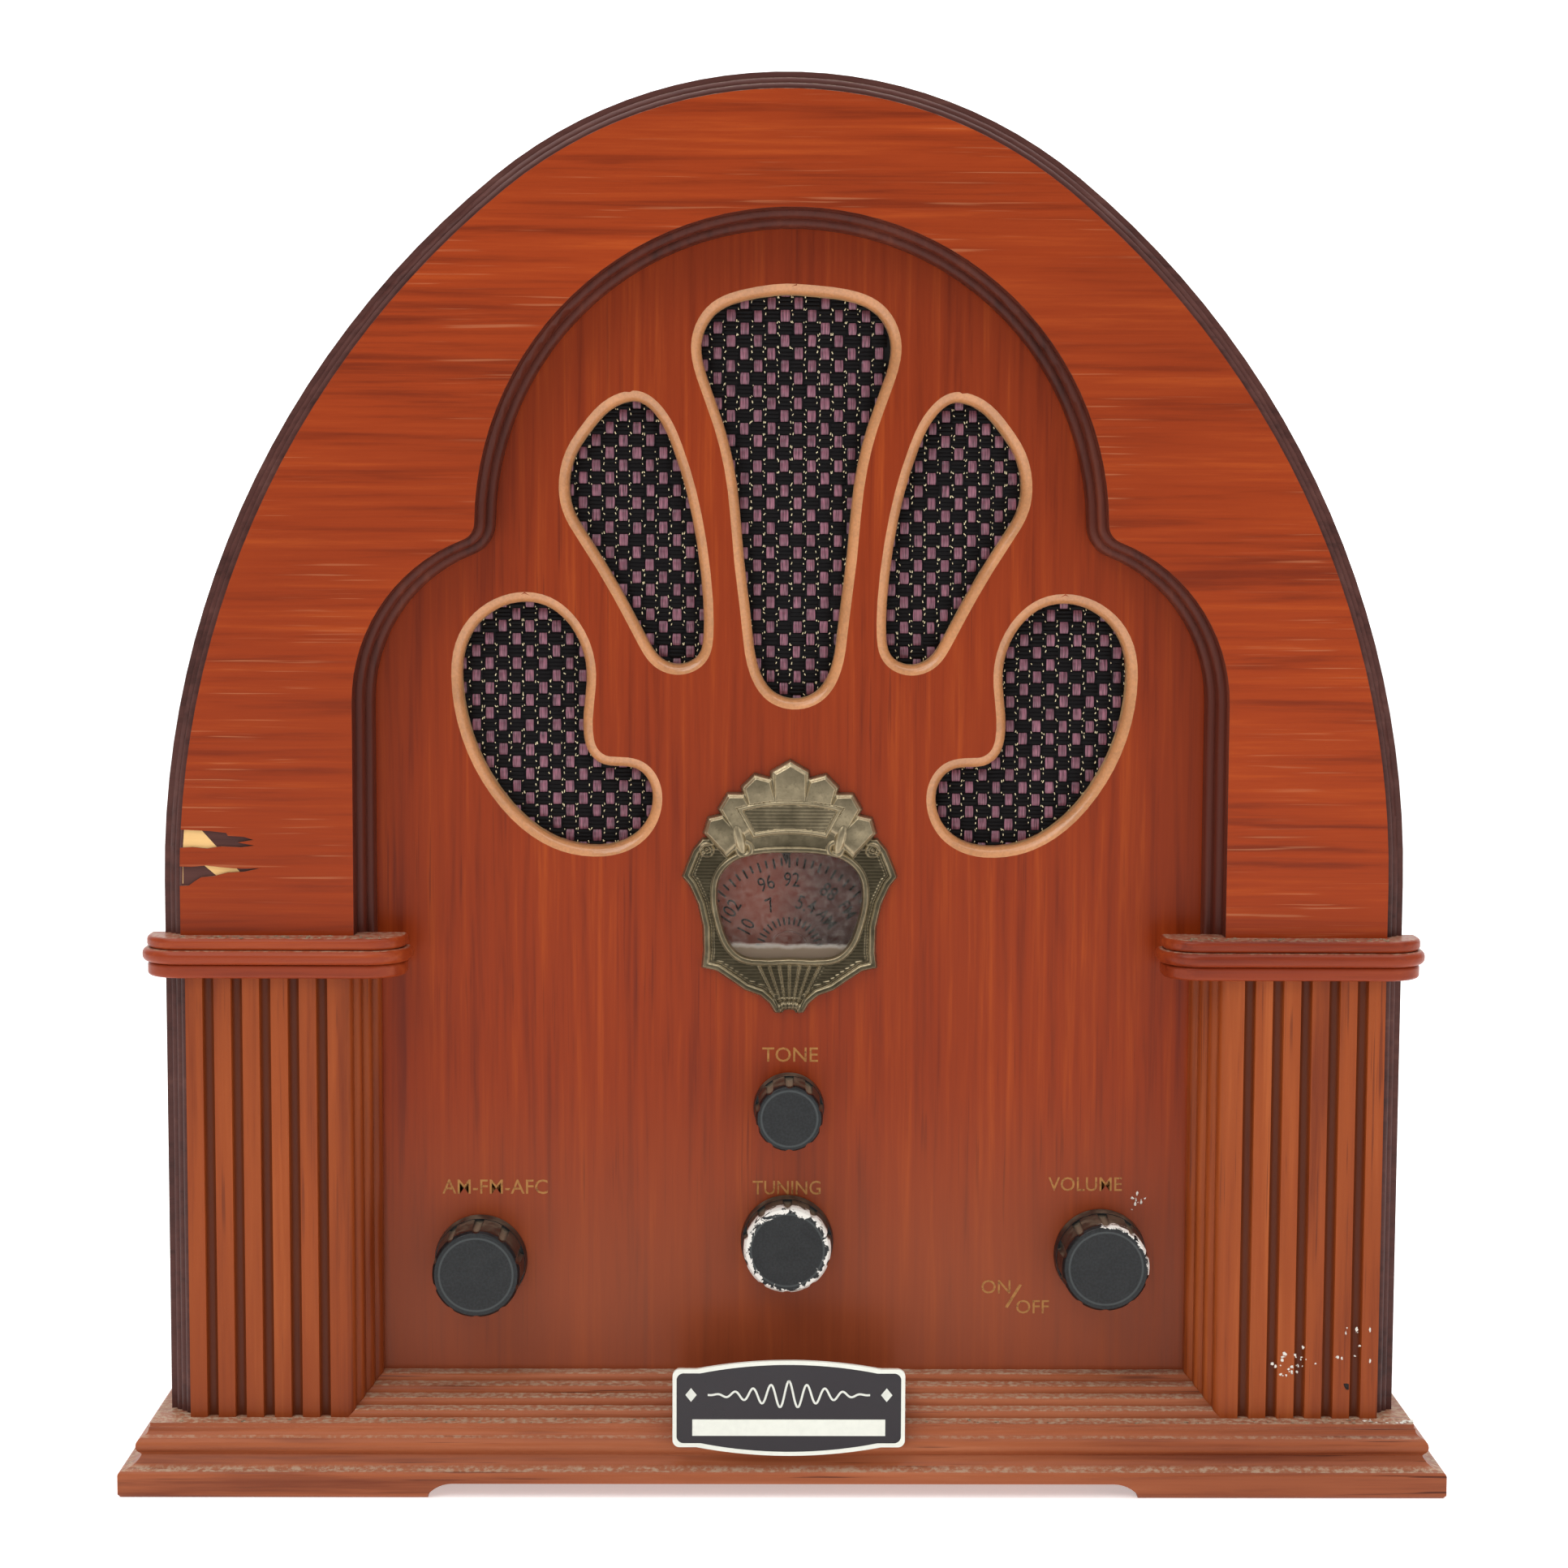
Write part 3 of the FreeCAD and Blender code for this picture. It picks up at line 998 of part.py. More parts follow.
def rod_holders():
    """Two posts that carry the aerial rod from the shell's sides on a cross bar."""
    bar = box(-132.0, 132.0, ROD_Y - 4, ROD_Y + 4, ROD_Z - 14, ROD_Z - 8)
    hood = slab(arch_outline(SHELL_IN + 0.05, ROD_Y - 20, BASE_Z), 40)
    parts = [bar.common(hood)]
    for x in (-62.0, 60.0):
        clip = box(x - 3, x + 3, ROD_Y - 7, ROD_Y + 7, ROD_Z - 9, ROD_Z + 3)
        parts.append(clip.cut(Part.makeCylinder(5.05, 12, V(x - 6, ROD_Y, ROD_Z), X_AXIS)))
    return fuse(parts)


def wire_path(points, r, bend):
    """Insulated lead: straight runs joined by tangent arcs."""
    edges = []
    cursor = points[0]
    for i in range(1, len(points) - 1):
        a, b, c = points[i - 1], points[i], points[i + 1]
        into = (b - a).normalize()
        out = (c - b).normalize()
        turn = into.getAngle(out)
        back = bend * math.tan(turn / 2)
        start = b - into * back
        end = b + out * back
        bisect = (out - into).normalize()
        middle = b + bisect * (bend / math.cos(turn / 2) - bend)
        edges.append(line(cursor, start))
        edges.append(arc(start, middle, end))
        cursor = end
    edges.append(line(cursor, points[-1]))
    spine = Part.Wire(edges)
    tangent = (points[1] - points[0]).normalize()
    ring = Part.Wire([Part.makeCircle(r, points[0], tangent)])
    return spine.makePipeShell([ring], True, False)


def wire_harness():
    """Leads from the volume control, transformer and loudspeaker to the circuit board."""
    r, bend = 0.7, 5.0
    top = BOARD_Z + 1.6
    vol_x, vol_z = FACE_X + KNOBS["volume"][0], KNOBS["volume"][1]
    tr_x, tr_y = TR_AT
    magnet_y = BASKET_Y + 24
    leads = [
        [V(vol_x - 4.5, POT_Y + 2.7, vol_z - 15.0), V(vol_x - 4.5, 4.0, vol_z - 15.0),
         V(36.0, 4.0, vol_z - 15.0), V(36.0, 4.0, 52.0), V(36.0, 48.0, 52.0), V(36.0, 48.0, top)],
        [V(tr_x - 10.0, tr_y + 16.0, BASE_Z + 24), V(tr_x - 10.0, tr_y + 34.0, BASE_Z + 24),
         V(16.0, tr_y + 34.0, BASE_Z + 24), V(16.0, tr_y + 34.0, top)],
        [V(FACE_X - 18.0, magnet_y + 14.5, SPEAKER_Z - 4), V(FACE_X - 18.0, 22.0, SPEAKER_Z - 4),
         V(FACE_X - 18.0, 22.0, 162.0), V(FACE_X - 26.0, 22.0, 162.0), V(FACE_X - 26.0, 22.0, 60.0),
         V(FACE_X - 26.0, 40.0, 60.0), V(FACE_X - 26.0, 40.0, top)],
    ]
    return group([wire_path(points, r, bend) for points in leads])


# ---------------------------------------------------------------- badge
def badge_outline(grow, y):
    """Plaque outline: bowed top and bottom, shouldered corners."""
    w, h = BADGE_HALF[0] + grow, BADGE_HALF[1] + grow
    shoulder, bow = 5.4, 2.0

    def at(x, z):
        return V(FACE_X + x, y, BADGE_Z + z)

    edges = []
    right = [at(w, -h + 1.6), at(w, h - 1.6)]
    left = [at(-w, h - 1.6), at(-w, -h + 1.6)]
    soft = 1.6
    top_r, top_l = at(w - shoulder, h), at(-w + shoulder, h)
    low_r, low_l = at(w - shoulder, -h), at(-w + shoulder, -h)
    nook = math.sqrt(0.5) * soft
    edges.append(line(right[0], right[1]))
    edges.append(arc(right[1], at(w - soft + nook, h - soft + nook), at(w - soft, h)))
    edges.append(line(at(w - soft, h), top_r))
    edges.append(arc(top_r, at(0, h + bow), top_l))
    edges.append(line(top_l, at(-w + soft, h)))
    edges.append(arc(at(-w + soft, h), at(-w + soft - nook, h - soft + nook), left[0]))
    edges.append(line(left[0], left[1]))
    edges.append(arc(left[1], at(-w + soft - nook, -h + soft - nook), at(-w + soft, -h)))
    edges.append(line(at(-w + soft, -h), low_l))
    edges.append(arc(low_l, at(0, -h - bow), low_r))
    edges.append(line(low_r, at(w - soft, -h)))
    edges.append(arc(at(w - soft, -h), at(w - soft + nook, -h + soft - nook), right[0]))
    return Part.Wire(edges)


def badge_plate():
    """Thin metal plaque with a raised border and a raised strip across its lower half."""
    body = slab(badge_outline(0.0, BADGE_Y), BADGE_T)
    field = slab(badge_outline(-0.9, BADGE_Y - 1), 1.12)
    strip = box(FACE_X - 22.0, FACE_X + 22.0, BADGE_Y, BADGE_Y + 0.5, BADGE_Z - 6.4, BADGE_Z - 2.6)
    return body.cut(field).fuse(strip).removeSplitter()


def badge_block(rail, plinth):
    """Wooden backing block between the plaque and the mouldings behind it."""
    y0 = BADGE_Y + BADGE_T
    body = slab(badge_outline(-0.6, y0), PILASTER_Y + 9 - y0)
    above = box(-HALF_W, HALF_W, y0 - 1, PANEL_Y, BADGE_Z + 4.2, BADGE_Z + 20)
    return body.cut(above).cut(plinth).cut(rail)


# ---------------------------------------------------------------- build
def build():
    """Make every node and write it."""
    board = arch_board()
    rail = bottom_rail()
    plinth = base_plinth()
    right_pilaster = pilaster()
    right_capital = capital(board)
    left_board = mirrored(board)
    left_capital = mirrored(capital(left_board))
    nodes = {
        "base_plinth": plinth,
        "arch_board": board,
        "arch_veneer": arch_veneer(),
        "front_panel": front_panel(),
        "right_pilaster": right_pilaster,
        "left_pilaster": mirrored(right_pilaster, PILLAR_X),
        "right_capital": right_capital,
        "left_capital": left_capital,
        "bottom_rail": rail,
        "cabinet_shell": cabinet_shell(),
        "back_cleats": back_cleats(),
        "back_panel": back_panel(),
        "back_screws": back_screws(),
        "cord_grommet": cord_grommet(),
        "aerial_terminals": aerial_terminals(),
        "badge_plate": badge_plate(),
        "badge_block": badge_block(rail, plinth),
        "escutcheon": escutcheon(),
        "escutcheon_pins": escutcheon_pins(),
        "dial_window": dial_window(),
        "dial_disc": dial_disc(),
        "dial_drum": dial_drum(),
        "gang_frame": gang_frame(),
        "gang_rotor": gang_rotor(),
        "gang_stator": gang_stator(),
        "gang_bracket": gang_bracket(),
        "dial_lamp": dial_lamp(),
        "volume_knob": knob("volume"),
        "band_knob": knob("band"),
        "tuning_knob": knob("tuning"),
        "tone_knob": knob("tone"),
        "volume_shaft": shaft("volume", 7.0),
        "band_shaft": shaft("band", 5.0),
        "tone_shaft": shaft("tone", 5.5),
        "tuning_spindle": tuning_spindle(),
        "volume_control": volume_control(),
        "tone_control": rotary_control("tone", 7.5, 7.5, 3),
        "band_switch": band_switch(),
        "tuning_bearing": tuning_bearing(),
        "control_nuts": control_nuts(),
        "grille_cloth": grille_sheet(CLOTH_Y, CLOTH_T),
        "speaker_baffle": speaker_baffle(),
        "baffle_screws": baffle_screws(),
        "speaker_basket": speaker_basket(),
        "speaker_magnet": speaker_magnet(),
        "speaker_cone": speaker_cone(),
        "speaker_surround": speaker_surround(),
        "speaker_screws": speaker_screws(),
        "circuit_board": circuit_board(),
        "board_standoffs": board_standoffs(),
        "board_screws": board_screws(),
        "if_transformers": if_transformers(),
        "capacitors": capacitors(),
        "transformer_core": transformer_core(),
        "transformer_winding": transformer_winding(),
        "chassis_screws": chassis_screws(),
        "wire_harness": wire_harness(),
        "ferrite_rod": ferrite_rod(),
        "ferrite_coil": ferrite_coil(),
        "rod_holders": rod_holders(),
    }
    for name, shape in nodes.items():
        save(name, shape)


build()
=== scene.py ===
"""Cathedral table radio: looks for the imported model.

Places and sizes of the radio are in millimetres and become metres with MM.  The camera and the studio are in
metres, and so is everything that a shader reads.
"""
import math

import bpy
import numpy as np
from mathutils import Matrix, Vector


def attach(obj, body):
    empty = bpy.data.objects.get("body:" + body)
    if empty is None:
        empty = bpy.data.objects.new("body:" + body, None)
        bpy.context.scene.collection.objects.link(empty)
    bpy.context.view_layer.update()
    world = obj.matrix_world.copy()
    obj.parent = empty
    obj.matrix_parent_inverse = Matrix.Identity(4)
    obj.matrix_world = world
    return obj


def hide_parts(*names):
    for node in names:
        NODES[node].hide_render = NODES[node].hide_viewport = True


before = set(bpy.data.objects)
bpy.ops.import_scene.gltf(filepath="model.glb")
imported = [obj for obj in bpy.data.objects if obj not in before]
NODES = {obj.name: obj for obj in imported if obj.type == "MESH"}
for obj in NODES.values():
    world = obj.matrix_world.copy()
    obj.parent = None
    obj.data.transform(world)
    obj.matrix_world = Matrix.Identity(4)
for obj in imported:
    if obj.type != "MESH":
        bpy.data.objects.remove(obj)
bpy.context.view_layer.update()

# ---------------------------------------------------------------- driving dimensions
MM = 0.001
FACE_X = 1.2             # middle of the front
PILLAR_X = 0.4           # middle between the pilasters
PILASTER_INNER = 100.9   # from there to a pilaster's inner edge
ARCH_Y = -69.5           # front faces
PANEL_Y = -54.5
PILASTER_Y = -72.3
LEDGE_Y = -76.8          # the plinth's ledge: front edge and height
LEDGE_Z = 15.5
CAPITAL_Y = -76.4        # the capitals: front edge and top
CAPITAL_Z = 127.3
DIAL_Z = 120.9           # the dial's axis
DISC_FACE_Y = -46.6
CLOTH_Y = -48.5          # middle of the grille cloth
BADGE_Z = 20.6           # the plaque: middle and front of its border
BADGE_Y = -82.0
KNOBS = {                # x from the middle of the front, z, cap's y, radius, amount of white flakes, seed
    "volume_knob": (73.5, 49.9, -69.0, 10.9, 0.5, 3.0),
    "band_knob": (-72.3, 48.3, -69.5, 10.9, 0.0, 5.0),
    "tuning_knob": (-0.3, 53.1, -65.0, 10.9, 1.0, 7.0),
    "tone_knob": (0.0, 84.9, -69.0, 8.3, 0.0, 9.0),
}

CAMERA_AT = Vector((-0.0071, -0.7706, 0.22595))
CAMERA_PITCH = 5.18
CAMERA_YAW = -0.55
CAMERA_ROLL = 0.235
CAMERA_LENS = 70.95


# ---------------------------------------------------------------- small helpers
def srgb(r, g, b):
    """Linear colour from 0-255 sRGB values."""
    out = []
    for v in (r, g, b):
        v /= 255.0
        out.append(v / 12.92 if v <= 0.04045 else ((v + 0.055) / 1.055) ** 2.4)
    return (*out, 1.0)


class Shader:
    """Builds one procedural material, node by node."""

    def __init__(self, name, roughness=0.5, metallic=0.0):
        self.material = bpy.data.materials.new(name)
        self.material.use_nodes = True
        self.tree = self.material.node_tree
        self.bsdf = self.tree.nodes["Principled BSDF"]
        self.bsdf.inputs["Roughness"].default_value = roughness
        self.bsdf.inputs["Metallic"].default_value = metallic
        geometry = self.tree.nodes.new("ShaderNodeTexCoord")
        self.position = geometry.outputs["Object"]

    def link(self, source, socket):
        self.tree.links.new(source, socket)

    def feed(self, socket, value):
        """Set a socket to a constant or link it."""
        if isinstance(value, bpy.types.NodeSocket):
            self.link(value, socket)
        else:
            socket.default_value = value

    def math(self, operation, a, b=0.0):
        n = self.tree.nodes.new("ShaderNodeMath")
        n.operation = operation
        self.feed(n.inputs[0], a)
        self.feed(n.inputs[1], b)
        return n.outputs[0]

    def scaled(self, scale, offset=(0, 0, 0), turn=(0, 0, 0)):
        """Object position after an offset, a turn in degrees and a per-axis scale."""
        n = self.tree.nodes.new("ShaderNodeMapping")
        n.inputs["Location"].default_value = offset
        n.inputs["Rotation"].default_value = [math.radians(a) for a in turn]
        n.inputs["Scale"].default_value = scale
        self.link(self.position, n.inputs["Vector"])
        return n.outputs[0]

    def noise(self, vector, scale=1.0, detail=3.0, rough=0.5, distortion=0.0):
        n = self.tree.nodes.new("ShaderNodeTexNoise")
        self.link(vector, n.inputs["Vector"])
        n.inputs["Scale"].default_value = scale
        n.inputs["Detail"].default_value = detail
        n.inputs["Roughness"].default_value = rough
        n.inputs["Distortion"].default_value = distortion
        return n.outputs["Fac"]

    def ramp(self, value, low, high, out_low=0.0, out_high=1.0):
        """Smooth clamped step from one value to another; low may be above high."""
        n = self.tree.nodes.new("ShaderNodeMapRange")
        n.interpolation_type = "SMOOTHSTEP"
        self.feed(n.inputs["Value"], value)
        n.inputs["From Min"].default_value = low
        n.inputs["From Max"].default_value = high
        n.inputs["To Min"].default_value = out_low
        n.inputs["To Max"].default_value = out_high
        return n.outputs[0]

    def mix(self, factor, a, b):
        n = self.tree.nodes.new("ShaderNodeMix")
        n.data_type = "RGBA"
        self.feed(n.inputs["Factor"], factor)
        self.feed(n.inputs[6], a)
        self.feed(n.inputs[7], b)
        return n.outputs[2]

    def xyz(self):
        n = self.tree.nodes.new("ShaderNodeSeparateXYZ")
        self.link(self.position, n.inputs[0])
        return n.outputs

    def normal(self):
        n = self.tree.nodes.new("ShaderNodeNewGeometry")
        s = self.tree.nodes.new("ShaderNodeSeparateXYZ")
        self.link(n.outputs["Normal"], s.inputs[0])
        return s.outputs

    def bump(self, height, strength, distance):
        n = self.tree.nodes.new("ShaderNodeBump")
        n.inputs["Strength"].default_value = strength
        n.inputs["Distance"].default_value = distance
        self.link(height, n.inputs["Height"])
        self.link(n.outputs[0], self.bsdf.inputs["Normal"])

    def set(self, **values):
        """Feed Principled sockets by name, with _ for spaces."""
        for key, value in values.items():
            self.feed(self.bsdf.inputs[key.replace("_", " ")], value)
        return self


# ---------------------------------------------------------------- wood
GRAIN = {"X": (14.0, 420.0, 420.0), "Y": (420.0, 14.0, 420.0), "Z": (420.0, 420.0, 14.0)}
DUST = srgb(186, 166, 142)


def wood(name, axis, dark, mid, light, pores=0.5, pore_colour=None, dust=0.0, gloss=0.35,
         seed=0.0, band=0.5):
    """Lacquered wood with figure, fibre and pore streaks along one axis, and dust on upward faces."""
    s = Shader(name, roughness=0.42)
    grain = GRAIN[axis]
    shift = (seed, seed * 1.7, seed * 0.6)
    broad = s.scaled([g * 0.12 if g > 100 else g * 0.35 for g in grain], shift)
    fine = s.scaled(grain, shift)
    hair = s.scaled([g * 3.2 if g > 100 else g * 2.0 for g in grain], shift)
    figure = s.noise(broad, 1.0, 4.0, 0.55, 0.8)
    fibre = s.noise(fine, 1.0, 5.0, 0.62, 0.25)
    streak = s.noise(hair, 1.0, 2.0, 0.5)
    cloud = s.noise(s.scaled((9.0, 9.0, 9.0), shift), 1.0, 2.0, 0.5)
    tone = s.math("ADD", s.math("MULTIPLY", figure, band), s.math("MULTIPLY", fibre, 1.0 - band))
    colour = s.mix(s.ramp(tone, 0.3, 0.52), dark, mid)
    colour = s.mix(s.ramp(tone, 0.5, 0.74), colour, light)
    colour = s.mix(s.ramp(cloud, 0.35, 0.75, 0.0, 0.35), colour, dark)
    pore = s.ramp(streak, 0.6, 0.7, 0.0, pores)
    patch = s.ramp(s.noise(s.scaled((26.0, 26.0, 26.0), shift), 1.0, 2.0, 0.5), 0.42, 0.62)
    pore = s.math("MULTIPLY", pore, patch)
    colour = s.mix(pore, colour, pore_colour or dark)
    rough = s.ramp(fibre, 0.2, 0.8, 0.36, 0.52)
    if dust:
        up = s.ramp(s.normal()[2], 0.8, 0.98)
        speckle = s.ramp(s.noise(s.scaled((700.0, 700.0, 700.0)), 1.0, 4.0, 0.7), 0.42, 0.62, 0.2, 1.0)
        veil = s.math("MULTIPLY", s.math("MULTIPLY", up, speckle), dust)
        colour = s.mix(veil, colour, DUST)
        rough = s.math("ADD", rough, s.math("MULTIPLY", veil, 0.4))
    s.set(Base_Color=colour, Roughness=rough, Coat_Weight=gloss * 0.3, Coat_Roughness=0.22,
          Specular_IOR_Level=0.14)
    s.bump(s.math("ADD", s.math("MULTIPLY", fibre, 0.6), s.math("MULTIPLY", streak, 0.4)), 0.25, 0.00025)
    return s


def plain(name, colour, roughness, metallic=0.0, grit=0.12, grit_scale=600.0, bump=0.1):
    """Even material with a little procedural variation in colour, gloss and surface."""
    s = Shader(name, roughness, metallic)
    grain = s.noise(s.scaled((grit_scale,) * 3), 1.0, 3.0, 0.6)
    cloud = s.noise(s.scaled((grit_scale / 14,) * 3), 1.0, 3.0, 0.5)
    shade = [c * (1 - grit * 2.2) for c in colour[:3]] + [1.0]
    tone = s.math("ADD", s.math("MULTIPLY", grain, 0.5), s.math("MULTIPLY", cloud, 0.5))
    glossiest = max(0.05, roughness - 0.08)
    s.set(Base_Color=s.mix(s.ramp(tone, 0.3, 0.7), shade, colour),
          Roughness=s.ramp(cloud, 0.25, 0.75, glossiest, roughness + 0.08))
    s.bump(grain, bump, 0.0001)
    return s


def brushed(name, colour, axis, roughness=0.32):
    """Metal with fine marks along one axis."""
    s = Shader(name, roughness, 1.0)
    scale = [2600.0, 2600.0, 2600.0]
    scale["XYZ".index(axis)] = 60.0
    marks = s.noise(s.scaled(scale), 1.0, 2.0, 0.6)
    shade = [c * 0.62 for c in colour[:3]] + [1.0]
    s.set(Base_Color=s.mix(marks, shade, colour),
          Roughness=s.ramp(marks, 0.2, 0.8, roughness - 0.08, roughness + 0.12))
    s.bump(marks, 0.12, 0.00006)
    return s


# ---------------------------------------------------------------- looks of the solids
def set_material(obj, *shaders):
    """Replace an object's materials."""
    obj.data.materials.clear()
    for shader in shaders:
        obj.data.materials.append(shader.material)


def paint_faces(obj, rule):
    """Choose each face's material from its centre and normal, both as arrays; rule returns indices."""
    mesh = obj.data
    count = len(mesh.polygons)
    centre = np.empty(count * 3)
    normal = np.empty(count * 3)
    mesh.polygons.foreach_get("center", centre)
    mesh.polygons.foreach_get("normal", normal)
    index = rule(centre.reshape(-1, 3) / MM, normal.reshape(-1, 3))
    mesh.polygons.foreach_set("material_index", index.astype(np.int32))
    mesh.update()


CHIP_DEPTH = 0.65        # how far behind the arch's face bare wood can show
BARE_SPOTS = (           # splits and nicks in the face veneer: x, z and half sizes
    (-129.0, 149.4, 9.5, 2.8), (-129.0, 141.0, 10.0, 2.8), (121.0, 227.2, 5.5, 4.8),
)
REED_Z = 180.0           # height of the cut-out's upper centre
REED_REACH_LOW = 112.0   # how far the inner reeds reach from the middle, below and above that height
REED_REACH_HIGH = 118.0
PETAL_FOOT_Z = 142.0     # the grille openings lie above this height and within this distance of x = 0
PETAL_REACH = 90.0
SHELL_Z = 132.0          # a height inside the hood, to tell its outside from its inside


def arch_looks():
    """Arch board and face veneer: red veneer in front, dark reeds at both edges, bare wood in the chips."""
    veneer = wood("face_veneer", "X", srgb(112, 36, 6), srgb(150, 54, 10), srgb(176, 74, 20), pores=0.3,
                  pore_colour=srgb(204, 138, 96), dust=0.5, gloss=0.35, seed=0.31, band=0.3)
    edge = wood("reeded_edge", "X", srgb(56, 30, 26), srgb(86, 50, 44), srgb(108, 70, 62), pores=0.2,
                dust=0.55, gloss=0.4, seed=1.7)
    inner_edge = wood("inner_reeds", "Z", srgb(58, 22, 14), srgb(88, 38, 26), srgb(112, 56, 40), pores=0.2,
                      dust=0.5, gloss=0.4, seed=2.3)
    bare = wood("bare_core", "X", srgb(214, 160, 96), srgb(238, 196, 132), srgb(250, 220, 164), pores=0.3,
                gloss=0.0, seed=0.9)
    set_material(NODES["arch_veneer"], veneer, edge)
    paint_faces(NODES["arch_veneer"], lambda c, n: np.where(n[:, 1] < -0.5, 0, 1))
    set_material(NODES["arch_board"], bare, edge, inner_edge)
    paint_faces(NODES["arch_board"], arch_rule)


def arch_rule(c, n):
    """Faces of the arch board: 0 bare wood in the chips, 1 outer reeds, 2 inner reeds."""
    chipped = np.zeros(len(c), bool)
    for x, z, half_x, half_z in BARE_SPOTS:
        chipped |= (np.abs(c[:, 0] - x) < half_x) & (np.abs(c[:, 2] - z) < half_z)
    chipped &= (n[:, 1] < -0.99) & (c[:, 1] < ARCH_Y + CHIP_DEPTH)
    from_middle = np.hypot(c[:, 0] - FACE_X, np.maximum(0, c[:, 2] - REED_Z))
    reach = np.where(c[:, 2] < REED_Z, REED_REACH_LOW, REED_REACH_HIGH)
    return np.where(chipped, 0, np.where(from_middle < reach, 2, 1))


def panel_looks(ply):
    """Inner panel: red veneer, pale routed rims round the openings, plywood behind."""
    panel = wood("panel_veneer", "Z", srgb(110, 34, 5), srgb(138, 48, 8), srgb(164, 68, 16), pores=0.5,
                 pore_colour=srgb(90, 28, 8), dust=0.2, gloss=0.4, seed=0.77, band=0.28)
    shade_low_panel(panel)
    rim = plain("routed_rim", srgb(206, 142, 92), 0.36, grit=0.14, grit_scale=1500.0)
    rim.set(Coat_Weight=0.5)
    set_material(NODES["front_panel"], panel, rim, ply)
    paint_faces(NODES["front_panel"], panel_rule)


def panel_rule(c, n):
    """Faces of the inner panel: 0 veneer, 1 routed rims, 2 plywood."""
    by_petals = (c[:, 2] > PETAL_FOOT_Z) & (np.abs(c[:, 0]) < PETAL_REACH)
    rounded = (n[:, 1] < -0.02) & (n[:, 1] > -0.995) & by_petals
    behind = (n[:, 1] > 0.5) | (np.abs(n[:, 1]) < 0.02)
    return np.where(rounded, 1, np.where(behind, 2, 0))


def frame_looks():
    """Pilasters, capitals, plinth, rail and the plaque's block."""
    pilaster = wood("pilaster_wood", "Z", srgb(112, 44, 16), srgb(150, 70, 28), srgb(176, 92, 44), pores=0.6,
                    pore_colour=srgb(88, 36, 20), dust=0.3, gloss=0.3, seed=1.13)
    flute_dirt_and_shade(pilaster)
    capital = wood("capital_wood", "X", srgb(104, 32, 12), srgb(146, 56, 22), srgb(176, 80, 36), pores=0.3,
                   pore_colour=srgb(84, 30, 16), dust=0.55, gloss=0.7, seed=2.9)
    plinth = wood("plinth_wood", "X", srgb(112, 52, 30), srgb(160, 88, 54), srgb(186, 114, 78), pores=0.8,
                  pore_colour=srgb(66, 26, 14), dust=0.75, gloss=0.35, seed=3.3)
    for name in ("left_pilaster", "right_pilaster"):
        set_material(NODES[name], pilaster)
    for name in ("left_capital", "right_capital"):
        set_material(NODES[name], capital)
    for name in ("base_plinth", "bottom_rail", "badge_block"):
        set_material(NODES[name], plinth)


def hidden_wood_looks(ply):
    """Bent hood with plywood inside, glue blocks, back and baffle."""
    shell = wood("shell_veneer", "Z", srgb(88, 34, 20), srgb(122, 54, 32), srgb(146, 74, 46), pores=0.4,
                 pore_colour=srgb(70, 28, 18), dust=0.4, gloss=0.35, seed=4.1)
    pine = wood("raw_wood", "X", srgb(176, 132, 84), srgb(206, 164, 112), srgb(222, 186, 136), pores=0.3,
                dust=0.2, gloss=0.0, seed=5.0)
    board = plain("hardboard", srgb(104, 72, 46), 0.62, grit=0.2, grit_scale=900.0, bump=0.25)
    set_material(NODES["cabinet_shell"], shell, ply)
    paint_faces(NODES["cabinet_shell"], shell_rule)
    for name in ("back_cleats", "rod_holders"):
        set_material(NODES[name], pine)
    for name in ("back_panel", "speaker_baffle"):
        set_material(NODES[name], board)


def shell_rule(c, n):
    """Faces of the hood: 0 veneer outside, 1 plywood inside and at the back edge."""
    inward = n[:, 0] * c[:, 0] + n[:, 2] * (c[:, 2] - SHELL_Z) < 0
    return np.where((n[:, 1] > 0.9) | inward, 1, 0)


def shade_low_panel(s):
    """Rubbed, paler varnish in the lower third of the panel."""
    z = s.xyz()[2]
    base = s.bsdf.inputs["Base Color"].links[0].from_socket
    low = s.ramp(z, 0.10, 0.03, 0.0, 0.5)
    s.feed(s.bsdf.inputs["Base Color"], s.mix(low, base, srgb(150, 84, 54)))


def flute_dirt_and_shade(s):
    """Darker wood in the bottoms of the flutes, painted shade with some dirt, not on the reeded inner
    returns.
    """
    x, y, _ = s.xyz()
    from_middle = s.math("ABSOLUTE", s.math("SUBTRACT", x, PILLAR_X * MM))
    base = s.bsdf.inputs["Base Color"].links[0].from_socket
    # painted shade and dirt: the wood darkens towards the bottom of each flute
    flute_bottom_shade_and_dirt = s.ramp(y, (PILASTER_Y + 0.5) * MM, (PILASTER_Y + 1.9) * MM, 0.0, 0.8)
    flute_bottom_shade_and_dirt = s.math("MULTIPLY", flute_bottom_shade_and_dirt, s.math("GREATER_THAN", from_middle, PILASTER_INNER * MM))
    s.feed(s.bsdf.inputs["Base Color"], s.mix(flute_bottom_shade_and_dirt, base, srgb(84, 38, 20)))


